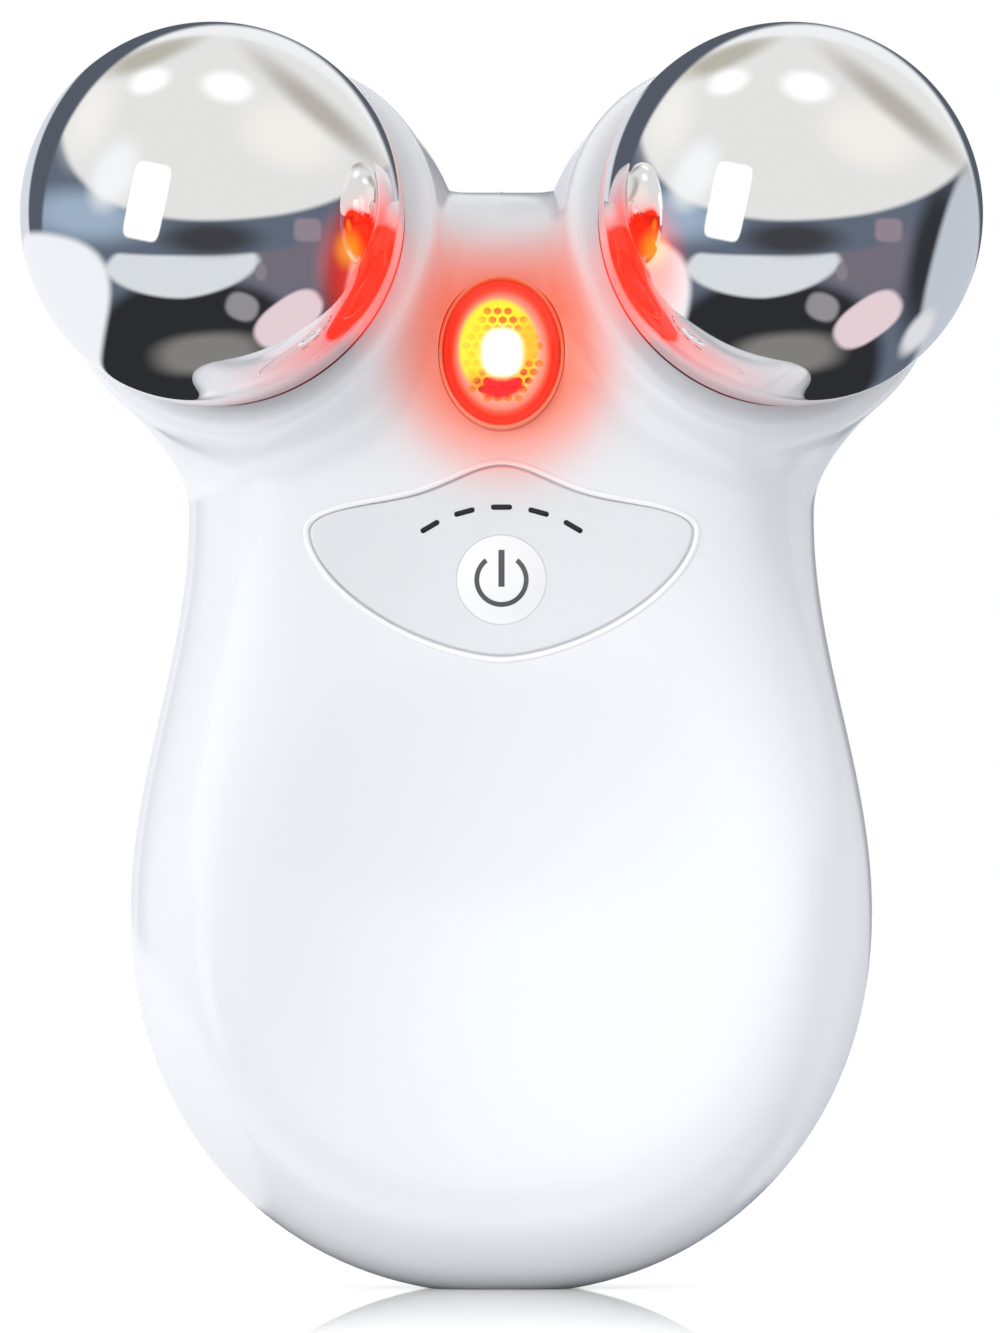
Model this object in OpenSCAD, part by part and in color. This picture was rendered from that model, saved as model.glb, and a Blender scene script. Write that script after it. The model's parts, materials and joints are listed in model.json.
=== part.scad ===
// Handheld facial toning device: two plated ball electrodes on a horned, hollow grip.
// Millimetres. +Z up, +X to the right, front face towards -Y, origin in the middle of the flat foot.

/* [Grip] */
// Width of the grip at the belly
belly_w = 58.6; // [50:0.1:72]
// Height of the widest section
belly_z = 29.6; // [26:0.1:34]
// Width of the neck, where the fingers close
neck_w = 49.4; // [42:0.1:58]
// Height of the neck
neck_z = 61.0; // [57:0.1:64]
// Height of the saddle between the two cups
saddle_z = 86.6; // [84:0.1:90]
// Depth from the middle to the back at the belly
belly_back = 17.2; // [14:0.1:21]
// Depth from the middle to the back at the neck
neck_back = 13.2; // [12:0.1:16]
// Depth from the middle to the front at the belly, before the flat face is cut
belly_front = 15.4; // [14:0.1:18]
// Depth from the middle to the front at the neck, before the flat face is cut
neck_front = 14.2; // [13:0.1:16]
// Distance of the flat front face from the middle
face_y = 11.5; // [10.5:0.1:13]
// Depth of the thumb dish in the front face
dish_d = 1.9; // [0.5:0.1:2.5]
// Height of the middle of the thumb dish
dish_z = 28; // [24:0.5:32]
// Slice taken off the round bottom for the foot
foot_cut = 0.5; // [0.3:0.05:1]
// Wall of the housing
wall = 1.8; // [1.4:0.1:2.4]

/* [Electrodes] */
// Radius of the ball electrodes
ball_r = 15.1; // [13.5:0.1:16]
// Distance of a ball from the middle plane
ball_x = 22.7; // [21:0.1:25]
// How far the ball centres lie in front of the middle
ball_front = 12; // [10:0.1:13]
// Height of the ball centres
ball_z = 84.6; // [82:0.1:88]
// Tilt of a ball's axis away from straight forward
ball_tilt = 30; // [24:0.5:34]
// Angle above the horizontal at which the axis leans out
ball_turn = 42; // [34:0.5:50]
// Wall of a plated ball
ball_wall = 1.2; // [0.8:0.1:2]
// Gap between a ball and its cup
ball_gap = 0.35; // [0.25:0.05:0.6]
// Outer radius of the rim of a cup
cup_r = 15.9; // [15.2:0.1:17.5]
// Depth of the rim behind the centre of the ball
cup_rim = 6.8; // [5.5:0.1:8]
// Wall of the bowl behind a ball
cup_wall = 1.6; // [1.2:0.1:2.2]

/* [Light] */
// Height of the middle of the red light
light_z = 73.9; // [72:0.1:75]
// Width of the red lens
lens_w = 9.3; // [8:0.1:10.5]
// Height of the red lens
lens_h = 11.8; // [10:0.1:12.5]
// Pitch of the honeycomb behind the lens
cell_pitch = 0.81; // [0.7:0.01:1.2]

/* [Panel and button] */
// Width of the wing-shaped control panel
panel_w = 30; // [26:0.1:31]
// Height of the tips of the control panel
panel_tip_z = 59.5; // [58.5:0.1:60]
// Thickness of the control panel
panel_t = 0.6; // [0.4:0.1:0.8]
// Diameter of the power button
button_d = 6.85; // [6:0.05:8]
// Height of the middle of the power button
button_z = 55.9; // [55:0.1:57]
// Travel of the power button
button_travel = 0.3; // [0.2:0.05:0.35]
// Running gap round the power button
button_gap = 0.1; // [0.08:0.01:0.2]
// Number of level lights
lamps = 5; // [3:2:5]

/* [Inside] */
// Width of the main board
board_w = 26; // [22:0.5:30]
// Distance of the main board's front face from the middle
board_front = 3; // [2.5:0.1:3.5]
// Thickness of the circuit boards
board_t = 1.2; // [0.8:0.1:1.6]
// Width of the battery pouch
cell_w = 25; // [20:0.5:28]
// Height of the battery pouch
cell_h = 30; // [24:0.5:32]
// Thickness of the battery pouch
cell_t = 6; // [4:0.1:7]

/* [Hidden] */

white = [0.93, 0.94, 0.96];
chrome = [0.72, 0.73, 0.76];
copper = [0.78, 0.55, 0.25];
green = [0.12, 0.38, 0.24];
red = [0.9, 0.12, 0.1];
black = [0.12, 0.12, 0.13];

foot_z = 0;
crown_z = 82;
closing_z = 74;
foot_front = belly_front;
foot_back = belly_back - 2.2;
crown_front = 9.2;
crown_back = 12.8;
foot_mid = 0;
belly_mid = 0;
neck_mid = 0.4;
crown_mid = 2.2;
round_p = 2.5;
blend = 4.5;
face_blend = 2;
dish_h = 24;
dish_w = 21;
rear_depth = 22;
rear_blend = 10;
cup_taper = 4;
rim_round = 1.1;
collar_l = 6;
seam = 0.12;
part_low = 1;
part_high = 5.6;
part_z0 = 60;
part_z1 = 78;
hub_z = neck_z - 1;
hub_y = 0.4;
shortest_step = 0.25;
halvings = 12;

// ---- the form of the grip, as a field that is below zero inside ----

// value that glides through its four stations along the height
function glide(z, foot, belly, neck, crown) =
    z < belly_z ? ease(foot, belly, (z - foot_z) / (belly_z - foot_z))
    : z < neck_z ? ease(belly, neck, (z - belly_z) / (neck_z - belly_z))
    : ease(neck, crown, (z - neck_z) / (crown_z - neck_z));
function ease(a, b, u) = let(v = max(0, min(1, u))) a + (b - a) * v * v * (3 - 2 * v);
// height of a superellipse of power p at the fraction q of its half width
function arch(q, p) = pow(max(1 - pow(max(0, min(1, q)), p), 0), 1 / p);
// smooth union and smooth intersection, with a fillet of about k
function melt(a, b, k) = let(h = max(k - abs(a - b), 0)) min(a, b) - h * h / (4 * k);
function trim(a, b, k) = -melt(-a, -b, k);

function low_end(t) = -foot_cut + t;
function high_end(t) = saddle_z - t;
function half_width(z, t) =
    z < belly_z ? (belly_w / 2 - t) * arch((belly_z - z) / (belly_z - low_end(t)), 2.1)
    : z < neck_z ? (belly_w + neck_w) / 4 - t
        + (belly_w - neck_w) / 4 * cos(180 * (z - belly_z) / (neck_z - belly_z))
    : (neck_w / 2 - t) * arch((z - neck_z) / (high_end(t) - neck_z), 3);
function closing(z, t) =
    z < belly_z ? arch((belly_z - z) / (belly_z - low_end(t)), 2.6)
    : arch((z - closing_z) / (high_end(t) - closing_z), 2.3);
// front face with the thumb dish in it
function face_at(x, z) =
    let(u = max(-1, min(1, (z - dish_z) / dish_h)), c = cos(90 * u), s = x / dish_w)
    face_y - dish_d * c * c * (1 - s * s);
function grip_field(x, y, z, t) =
    let(w = max(half_width(z, t), 0.001),
        mid = glide(z, foot_mid, belly_mid, neck_mid, crown_mid),
        front = glide(z, foot_front, belly_front, neck_front, crown_front) + mid - t,
        back = glide(z, foot_back, belly_back, neck_back, crown_back) - mid - t,
        depth = (y < mid ? front : back) * max(closing(z, t), 0.001),
        s = pow(pow(abs(x) / w, round_p) + pow(abs(y - mid) / depth, round_p), 1 / round_p),
        dome = max((s - 1) * min(depth, w), low_end(t) - z, z - high_end(t)))
    trim(dome, t - face_at(x, z) - y, face_blend);

axis = [sin(ball_tilt) * cos(ball_turn), -cos(ball_tilt), sin(ball_tilt) * sin(ball_turn)];
ball_at = [ball_x, -ball_front, ball_z];
// round horn along the ball's axis, open past its rim
function horn_field(x, y, z, t) =
    let(q = [abs(x), y, z] - ball_at, a = q * axis, rho = sqrt(max(q * q - a * a, 0)),
        side = (rho - cup_r + t - (a + cup_rim) * tan(cup_taper)) * cos(cup_taper))
    trim(trim(side, t - rear_depth - a, rear_blend), a, face_blend);
function field(p, t) =
    melt(grip_field(p.x, p.y, p.z, t), horn_field(p.x, p.y, p.z, t), blend);

// ---- a closed skin: a fan of rays leaves the core, each stops at the field's surface ----

function reach(p, u, t, r, last) =
    let(f = field(p + r * u, t))
    f >= 0 ? refine(p, u, t, last, r, halvings)
    : reach(p, u, t, r + max(shortest_step, -0.7 * f), r);
function refine(p, u, t, near, far, n) =
    let(m = (near + far) / 2)
    n == 0 ? p + m * u
    : field(p + m * u, t) < 0 ? refine(p, u, t, m, far, n - 1) : refine(p, u, t, near, m, n - 1);

// how the fan turns round the right half of the outline, from the foot over the horn to the saddle:
// share of the way, then where a ray starts (X and Z) and the angle at which it leaves
fan = [
    [0, 0, belly_z + 6.4, -90],
    [0.14, 0, belly_z + 6.4, -50],
    [0.26, 1, belly_z + 8.4, -12],
    [0.36, 5, neck_z - 11, 0],
    [0.44, 8, neck_z, 0],
    [0.5, ball_x - 9.7, ball_z - 12.6, -22],
    [0.55, ball_x - 5.7, ball_z - 5.6, -42],
    [0.64, ball_x - 4.7, ball_z - 3.6, 0],
    [0.76, ball_x - 4.7, ball_z - 3.6, 60],
    [0.88, ball_x - 3.7, ball_z - 5.6, 124],
    [0.925, ball_x - 10.7, ball_z - 9, 119],
    [0.935, ball_x - 14.7, ball_z - 9.6, 109],
    [0.973, 1, neck_z + 4, 91.5],
    [1, 0, neck_z + 4, 90]];
fan_end = len(fan) - 1;
// slope of column k of the fan at station i
function fan_slope(i, k) =
    let(a = fan[max(i - 1, 0)], b = fan[min(i + 1, fan_end)])
    k == 2 && (i == 0 || i == fan_end) ? 0 : (b[k] - a[k]) / (b[0] - a[0]);
// column k of the fan on a smooth curve through its stations
function along_fan(s, k) =
    let(i = min(len([for (row = fan) if (row[0] <= s) 1]) - 1, fan_end - 1),
        a = fan[i], b = fan[i + 1], h = b[0] - a[0], u = (s - a[0]) / h)
    (2 * u * u * u - 3 * u * u + 1) * a[k] + (u * u * u - 2 * u * u + u) * h * fan_slope(i, k)
    + (3 * u * u - 2 * u * u * u) * b[k] + (u * u * u - u * u) * h * fan_slope(i + 1, k);
// surface point of one ray: s goes round the outline, turn from the front (0) to the back (180)
function skin_point(x, z, angle, turn, t) =
    let(w = pow(sin(turn), 0.8))
    reach([w * x, hub_y, hub_z + w * (z - hub_z)],
        [sin(turn) * cos(angle), -cos(turn), sin(turn) * sin(angle)], t, 0, 0);
module skin(t, rows, turns) {
    front = reach([0, hub_y, hub_z], [0, -1, 0], t, 0, 0);
    back = reach([0, hub_y, hub_z], [0, 1, 0], t, 0, 0);
    half = rows / 2;
    right = [for (i = [0 : half]) let(x = along_fan(i / half, 1), z = along_fan(i / half, 2),
        angle = along_fan(i / half, 3))
        [for (j = [1 : turns - 1]) skin_point(x, z, angle, 180 * j / turns, t)]];
    rings = concat(right, [for (i = [half - 1 : -1 : 1]) [for (p = right[i]) [-p.x, p.y, p.z]]]);
    m = turns - 1;
    points = concat([front, back], [for (ring = rings) for (p = ring) p]);
    faces = [for (i = [0 : rows - 1]) let(a = 2 + i * m, b = 2 + (i + 1) % rows * m)
        each concat([[0, b, a], [1, a + m - 1, b + m - 1]],
            [for (j = [0 : m - 2]) each [[a + j, b + j, b + j + 1], [a + j, b + j + 1, a + j + 1]]])];
    polyhedron(points, faces);
}
module outer_skin() { skin(0, 60, 24); }
module inner_skin() { skin(wall, 32, 14); }

// ---- places and small helpers ----

slack = 0.05;
ball_cavity_r = ball_r + ball_gap;
bowl_r = ball_cavity_r + cup_wall;
boss_r = 4;
insert_r = 2.1;
insert_l = 5;
screw_r = 1.5;
screw_head_r = 2.8;
screw_head_h = 1.8;
bowl_foot = bowl_r + 1.6;
terminal_t = 0.5;
terminal_r = 3.1;
tail_w = 2.2;
tail_l = 3;
ball_boss_t = 1.6;
ball_boss_l = 7.6;

panel_face = face_y - 0.1;
tape_t = 0.15;
panel_floor = panel_face - panel_t - tape_t;
panel_gap = 0.12;
wall_in = face_y - wall;
button_proud = 0.45;
button_rise = 0.35;
button_r = button_d / 2;
button_lip = 0.475;
button_flange_r = button_r + button_lip;
button_flange_t = 0.8;
plunger_r = 1.6;
stem_r = 1.7;
stem_proud = 0.7;
switch_w = 6;
switch_h = 3.4;
board_back = board_front - board_t;
board_z0 = 20;
board_z1 = 66;
board_screw_x = board_w / 2 - 2.5;
board_screw_z = [board_z0 + 3, board_z1 - 4];
board_screw_r = 0.85;
board_screw_l = 5;
board_screw_head_r = 1.7;
board_screw_head_h = 1.1;
board_boss_r = 2.1;
lead_r = 0.5;
wire_r = 0.45;

dash_l = 1.6;
dash_h = 0.38;
dash_arc = 11.1;
dash_step = 15.2;
dash_z = button_z - 5.4;

post_r = 2.4;
pin_r = 1.1;
pin_l = 4;
posts = [[-19, 42], [19, 42], [-13.5, 13.5], [13.5, 13.5], [0, saddle_z - 4.6]];

cradle_y = 11.6;
pad_t = 0.5;
cell_z0 = 17.5;
rib_t = 1.2;
chip_w = 6;
chip_t = 1.5;
chip_z = 44;
coil_x = 5;
coil_z = 34;
coil_r = 3;
coil_t = 3;

usb_w = 8.94;
usb_h = 3.26;
usb_l = 7.3;
usb_shell = 0.3;
tongue_w = 6.6;
tongue_t = 0.7;
usb_mouth_z = 2.8;
charge_y = 4.6;
charge_w = 10.4;
charge_z0 = 5;
charge_z1 = 15;
stake_x = 3.5;
stake_z = 13;
stake_r = 0.7;
stake_foot_r = 1.6;
usb_y = charge_y + board_t + usb_h / 2;

light_seat = reach([0, 0, light_z], [0, -1, 0], 0, 0, 0);
light_above = reach([0, 0, light_z + 3], [0, -1, 0], 0, 0, 0);
light_below = reach([0, 0, light_z - 3], [0, -1, 0], 0, 0, 0);
light_lean = atan2(light_above.y - light_below.y, 6);
bezel_lip = 0.28;
bezel_flange = 0.9;
flange_seat = 0.5;
lens_rise = 0.95;
lens_t = 0.8;
lens_skirt = 1.2;
comb_t = 0.6;
comb_depth = 2.1;
light_board_depth = 4.4;
light_board_w = 8.6;
light_board_h = 10;
emitter_w = 3.5;
emitter_h = 2.8;
emitter_t = 1.4;
emitter_cup_r = 0.9;

// radius whose n flat facets lie round a circle of radius r, so that they never reach into it
function around(r, n) = r / cos(180 / n);
function part_y(z) = ease(part_low, part_high, (z - part_z0) / (part_z1 - part_z0));
function arc(r, from, to, n) = [for (i = [0 : n]) let(a = from + (to - from) * i / n) r * [cos(a), sin(a)]];
function ellipse(a, b, n) = [for (i = [0 : n - 1]) [a * cos(360 * i / n), b * sin(360 * i / n)]];
function slab(w, h, r) = concat(
    [for (p = arc(r, 0, 90, 5)) p + [w / 2 - r, h / 2 - r]],
    [for (p = arc(r, 90, 180, 5)) p + [r - w / 2, h / 2 - r]],
    [for (p = arc(r, 180, 270, 5)) p + [r - w / 2, r - h / 2]],
    [for (p = arc(r, 270, 360, 5)) p + [w / 2 - r, r - h / 2]]);

// cylinder along Y between two depths
module peg(x, z, y0, y1, r, n = 48) {
    translate([x, y1, z]) rotate([90, 0, 0]) cylinder(h = y1 - y0, r = r, $fn = n);
}
// flat outline in the XZ plane, thick between two depths
module plate(x, z, y0, y1, outline) {
    translate([x, y1, z]) rotate([90, 0, 0]) linear_extrude(y1 - y0) polygon(outline);
}
// block between two corners
module block(low, high) {
    translate(low) cube(high - low);
}
// frame of one ball: +Z points out of its cup, side is 1 on the right and -1 on the left
module at_ball(side) {
    mirror([side < 0 ? 1 : 0, 0, 0]) translate(ball_at)
        rotate([0, acos(axis.z), atan2(axis.y, axis.x)]) children();
}
// frame of the red light: +Z points out of the front face, +Y up along it
module at_light() {
    translate(light_seat) rotate([90 - light_lean, 0, 0]) children();
}
// point of a smooth curve through the given points, at fraction u of the stretch after point i
function bend(points, i, u) =
    let(last = len(points) - 1, a = points[max(i - 1, 0)], b = points[i],
        c = points[i + 1], d = points[min(i + 2, last)])
    b + u * (c - a) / 2 + u * u * (2 * a - 5 * b + 4 * c - d) / 2 + u * u * u * (3 * b - a - 3 * c + d) / 2;
// insulated wire: a ring of 6 points swept along a smooth route through the given points
module wire(points, r) {
    steps = 3;
    n = 6;
    route = [for (i = [0 : len(points) - 2], j = [0 : steps - 1]) bend(points, i, j / steps)];
    path = concat(route, [points[len(points) - 1]]);
    m = len(path);
    rings = [for (i = [0 : m - 1])
        let(t = path[min(i + 1, m - 1)] - path[max(i - 1, 0)], s = cross(t, [1, 0, 0.3]),
            side = s / norm(s), up = cross(t, side) / norm(t))
        for (k = [0 : n - 1]) path[i] + r * (cos(360 * k / n) * side + sin(360 * k / n) * up)];
    walls = [for (i = [0 : m - 2], k = [0 : n - 1]) let(a = i * n + k, b = i * n + (k + 1) % n)
        [a, b, b + n, a + n]];
    ends = [[for (k = [n - 1 : -1 : 0]) k], [for (k = [0 : n - 1]) (m - 1) * n + k]];
    polyhedron(rings, concat(walls, ends));
}

// wing-shaped outline of the control panel, larger than the panel by grow
function panel_outline(grow) = [for (i = [0 : 71]) let(a = 5 * i, u = cos(a), x = panel_w / 2 * u,
    z = a < 180 ? 2.9 * arch(abs(u), 6) + 2.45 * exp(-x * x / 25) * arch(abs(u), 2)
        : -9.55 * arch(abs(u), 1.75),
    n = norm([u * 0.6, z / 9.55]))
    [x + grow * u * 0.6 / n, panel_tip_z + z + grow * z / 9.55 / n]];

// ---- housing ----

module dash(i, y0, y1, w, h) {
    a = (i - (lamps - 1) / 2) * dash_step;
    translate([0, 0, dash_z]) rotate([0, a, 0]) translate([-w / 2, y0, dash_arc - h / 2])
        cube([w, y1 - y0, h]);
}
module front_half(gap) {
    steps = [for (i = [0 : 12]) part_z0 + (part_z1 - part_z0) * i / 12];
    translate([-50, 0, 0]) rotate([90, 0, 90]) linear_extrude(100)
        polygon(concat([[-40, -5], [part_low + gap, -5]],
            [for (z = steps) [part_y(z) + gap, z]], [[part_high + gap, 110], [-40, 110]]));
}
// crisp outer wall of a cup next to its rim
module collar() {
    foot = -cup_rim - collar_l;
    top_r = cup_r + 0.03;
    foot_r = top_r - collar_l * tan(cup_taper);
    rotate_extrude($fn = 48) polygon(concat([[foot_r - wall, foot], [foot_r, foot]],
        [for (p = arc(rim_round, 0, 90, 3)) p + [top_r - rim_round, -cup_rim - rim_round]],
        [[top_r - wall - 0.6, -cup_rim]]));
}
module rim_cutter() {
    top = 24;
    outer = cup_r + 2.4;
    rotate_extrude($fn = 48) polygon([[0, -cup_rim], [cup_r - rim_round, -cup_rim],
        [cup_r + 0.08, -cup_rim - rim_round], [outer, -cup_rim - rim_round], [outer, top], [0, top]]);
}
module front_shell() {
    color(white) resize([0, 0, 0]) difference() {
        union() {
            intersection() {
                front_half(-seam / 2);
                for (side = [-1, 1]) at_ball(side) collar();
            }
            intersection() {
                difference() {
                    outer_skin();
                    for (side = [-1, 1]) at_ball(side) rim_cutter();
                }
                union() {
                    intersection() {
                        front_half(-seam / 2);
                        union() {
                            difference() {
                                outer_skin();
                                inner_skin();
                            }
                            for (p = posts) peg(p.x, p.y, -face_y - 4, 30, post_r, 16);
                        }
                    }
                    for (side = [-1, 1]) at_ball(side) sphere(r = bowl_r, $fn = 24);
                    for (x = [-1, 1], z = board_screw_z)
                        peg(x * board_screw_x, z, -face_y - 2, -board_front - slack, board_boss_r, 16);
                }
            }
            for (side = [-1, 1]) at_ball(side)
                translate([0, 0, -bowl_foot]) cylinder(h = 3, r = boss_r, $fn = 24);
        }
        for (side = [-1, 1]) at_ball(side) {
            rotate_extrude($fn = 40)
                polygon(concat([[0, 0]], arc(around(around(ball_cavity_r, 40), 40), -90, 0, 10)));
            translate([0, 0, -bowl_foot - 1]) cylinder(h = 5, r = screw_r + 0.15, $fn = 16);
        }
        for (p = posts) peg(p.x, p.y, part_y(p.y) - pin_l - 1, part_y(p.y) + 1, around(pin_r + slack, 14), 14);
        for (x = [-1, 1], z = board_screw_z)
            peg(x * board_screw_x, z, -board_front - board_screw_l - 0.2, -board_front + 1,
                board_screw_r + slack, 16);
        plate(0, 0, -face_y - 2, -panel_floor, panel_outline(panel_gap));
        peg(0, button_z, -face_y - 2, -wall_in + 2, button_r + button_gap, 48);
        for (i = [0 : lamps - 1]) dash(i, -face_y - 2, -wall_in + 2, dash_l + 0.1, 1);
        at_light() translate([0, 0, -wall - 3]) linear_extrude(wall + 6)
            polygon(ellipse(lens_w / 2 + bezel_lip + slack, lens_h / 2 + bezel_lip + slack, 48));
        at_light() translate([0, 0, -wall - 4]) linear_extrude(4 - flange_seat)
            polygon(ellipse(lens_w / 2 + bezel_flange + slack, lens_h / 2 + bezel_flange + slack, 48));
        peg(0, button_z, -wall_in + slack, -wall_in + 3, button_flange_r + button_gap, 32);
        block([-30, -30, -5], [30, 30, 0]);
    }
}
module back_shell() {
    color(white) resize([0, 0, 0]) difference() {
        union() {
            difference() {
                intersection() {
                    outer_skin();
                    union() {
                        difference() {
                            outer_skin();
                            inner_skin();
                        }
                        for (p = posts) peg(p.x, p.y, -1, 30, post_r, 16);
                        for (z = [0.12, 0.5, 0.88])
                            block([-cell_w / 2, cradle_y, cell_z0 + cell_h * z - rib_t / 2],
                                [cell_w / 2, 30, cell_z0 + cell_h * z + rib_t / 2]);
                        for (x = [-1, 1]) translate([x * (cell_w / 2 + 0.3 + rib_t / 2), 0, 0])
                            block([-rib_t / 2, cradle_y - cell_t + 1, cell_z0 + 4],
                                [rib_t / 2, 30, cell_z0 + cell_h - 4]);
                        for (x = [-1, 1]) peg(x * stake_x, stake_z, charge_y + board_t, 30, stake_foot_r, 16);
                    }
                }
                front_half(seam / 2);
            }
            for (p = posts) peg(p.x, p.y, part_y(p.y) - pin_l, part_y(p.y) + 1, pin_r, 14);
            for (x = [-1, 1]) peg(x * stake_x, stake_z, charge_y - 0.3, charge_y + board_t + 1, stake_r, 16);
        }
        for (side = [-1, 1]) at_ball(side) sphere(r = bowl_r + 0.3, $fn = 32);
        translate([0, usb_y, -1]) linear_extrude(usb_mouth_z + usb_l + 2)
            polygon(slab(usb_w + 0.5, usb_h + 0.5, 1.6));
        block([-30, -30, -5], [30, 30, 0]);
    }
}

// ---- ball electrodes ----

module sphere_shape() {
    color(chrome) difference() {
        sphere(r = ball_r, $fn = 96);
        difference() {
            sphere(r = ball_r - ball_wall, $fn = 96);
            translate([0, 0, -ball_r]) cylinder(h = ball_boss_l, r = insert_r + ball_boss_t, $fn = 48);
        }
        translate([0, 0, -ball_r - 1]) cylinder(h = insert_l + 2, r = insert_r + slack, $fn = 48);
    }
}
module sphere_left() { at_ball(-1) sphere_shape(); }
module sphere_right() { at_ball(1) sphere_shape(); }
module insert_shape() {
    color(copper) translate([0, 0, -ball_r + 0.4]) difference() {
        cylinder(h = insert_l, r = insert_r, $fn = 48);
        translate([0, 0, -1]) cylinder(h = insert_l + 2, r = screw_r + slack, $fn = 48);
    }
}
module insert_left() { at_ball(-1) insert_shape(); }
module insert_right() { at_ball(1) insert_shape(); }
// insulating washer that lies between the ball and the bottom of its cup
module gasket_shape() {
    low = ball_r + slack / 2;
    high = ball_cavity_r - slack;
    color(black) rotate_extrude($fn = 64)
        polygon(concat(arc(low, -81, -63, 8), arc(high, -63, -81, 8)));
}
module gasket_left() { at_ball(-1) gasket_shape(); }
module gasket_right() { at_ball(1) gasket_shape(); }
module contact_screw_shape() {
    head_z = -bowl_foot - terminal_t - 2 * slack;
    color(chrome) union() {
        translate([0, 0, head_z]) cylinder(h = -head_z - ball_r + insert_l, r = screw_r, $fn = 48);
        translate([0, 0, head_z - screw_head_h]) cylinder(h = screw_head_h, r = screw_head_r, $fn = 48);
    }
}
module contact_screw_left() { at_ball(-1) contact_screw_shape(); }
module contact_screw_right() { at_ball(1) contact_screw_shape(); }
module terminal_shape() {
    color(copper) translate([0, 0, -bowl_foot - terminal_t - slack]) difference() {
        union() {
            cylinder(h = terminal_t, r = terminal_r, $fn = 48);
            translate([0, -tail_w / 2, 0]) cube([terminal_r + tail_l, tail_w, terminal_t]);
        }
        translate([0, 0, -1]) cylinder(h = 2, r = screw_r + slack, $fn = 48);
    }
}
module terminal_left() { at_ball(-1) terminal_shape(); }
module terminal_right() { at_ball(1) terminal_shape(); }

// lead from a terminal down to the main board
module electrode_lead(side) {
    tail = ball_at - (bowl_foot + terminal_t / 2) * axis;
    middle = [ball_x - 10.5, 3.4, ball_z - 17];
    end = [board_screw_x - 4, -board_back + 0.4, board_z1 - 2];
    mirror([side < 0 ? 1 : 0, 0, 0]) color(side < 0 ? black : red)
        wire([tail + terminal_drop(), middle, [end.x, 2.2, end.z + 2], end], lead_r);
}
// from the middle of a terminal to the end of its tail
function terminal_drop() =
    (terminal_r + tail_l + 0.4) * [cos(lean_y) * cos(lean_z), cos(lean_y) * sin(lean_z), -sin(lean_y)];
lean_y = acos(axis.z);
lean_z = atan2(axis.y, axis.x);
module electrode_lead_left() { electrode_lead(-1); }
module electrode_lead_right() { electrode_lead(1); }

// ---- red light ----

module light_bezel() {
    a = lens_w / 2;
    b = lens_h / 2;
    color([0.98, 0.82, 0.76]) at_light() difference() {
        union() {
            translate([0, 0, -wall - flange_seat - 0.4]) linear_extrude(wall + flange_seat + 0.55)
                polygon(ellipse(a + bezel_lip, b + bezel_lip, 64));
            translate([0, 0, -wall - flange_seat - 0.8]) linear_extrude(0.8 - slack)
                polygon(ellipse(a + bezel_flange, b + bezel_flange, 64));
        }
        translate([0, 0, -wall - 3]) linear_extrude(wall + 5) polygon(ellipse(a, b, 64));
    }
}
// domed lens with a skirt that stands on the honeycomb
module light_lens() {
    a = lens_w / 2 - slack;
    b = lens_h / 2 - slack;
    ball = dome_r(a, lens_rise);
    inside = ball - lens_t;
    dome = concat([for (p = arc(ball, 90 - asin(a / ball), 90, 5)) p - [0, ball - lens_rise]],
        [for (p = arc(inside, 90, 90 - asin((a - lens_t) / inside), 3)) p - [0, ball - lens_rise]]);
    color(red) at_light() scale([1, b / a, 1])
        rotate_extrude($fn = 28) polygon(concat([[a - lens_t, -lens_skirt], [a, -lens_skirt]], dome));
}
// radius of a sphere whose cap is rise high over the half chord a
function dome_r(a, rise) = (a * a + rise * rise) / (2 * rise);
// reflector plate with rows of six-sided cells
module light_honeycomb() {
    a = lens_w / 2 - slack;
    b = lens_h / 2 - slack;
    row = cell_pitch * sin(60);
    color([1, 0.75, 0.15]) at_light() translate([0, 0, -comb_depth - comb_t]) linear_extrude(comb_t)
        difference() {
            polygon(ellipse(a, b, 64));
            for (j = [-6 : 6], i = [-5 : 5]) {
                x = (i + (j % 2 == 0 ? 0 : 0.5)) * cell_pitch;
                y = j * row;
                if (pow(x / (a - 1.3), 2) + pow(y / (b - 1.3), 2) < 1)
                    translate([x, y]) rotate(30) circle(r = cell_pitch * 0.42, $fn = 6);
            }
        }
}
module light_board() {
    color(green) at_light() translate([0, 0, -light_board_depth - board_t])
        linear_extrude(board_t) polygon(slab(light_board_w, light_board_h, 1));
}
module light_emitter() {
    low = -light_board_depth;
    color([0.95, 0.92, 0.8]) at_light() difference() {
        translate([-emitter_w / 2, -emitter_h / 2, low]) cube([emitter_w, emitter_h, emitter_t]);
        translate([0, 0, low + emitter_t - 0.8])
            cylinder(h = 1, r1 = emitter_cup_r, r2 = emitter_cup_r + 0.3, $fn = 48);
    }
}
module light_leads() {
    color(red) for (x = [-1, 1])
        wire([light_seat + [x * 1.5, light_board_depth + board_t + 0.7, -2.9],
            [x * 1.5, light_seat.y + 9.2, light_z - 5.5],
            [x * 1.5, -board_back + 0.55, board_z1 - 1.5]], wire_r);
}

// ---- control panel ----

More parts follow.
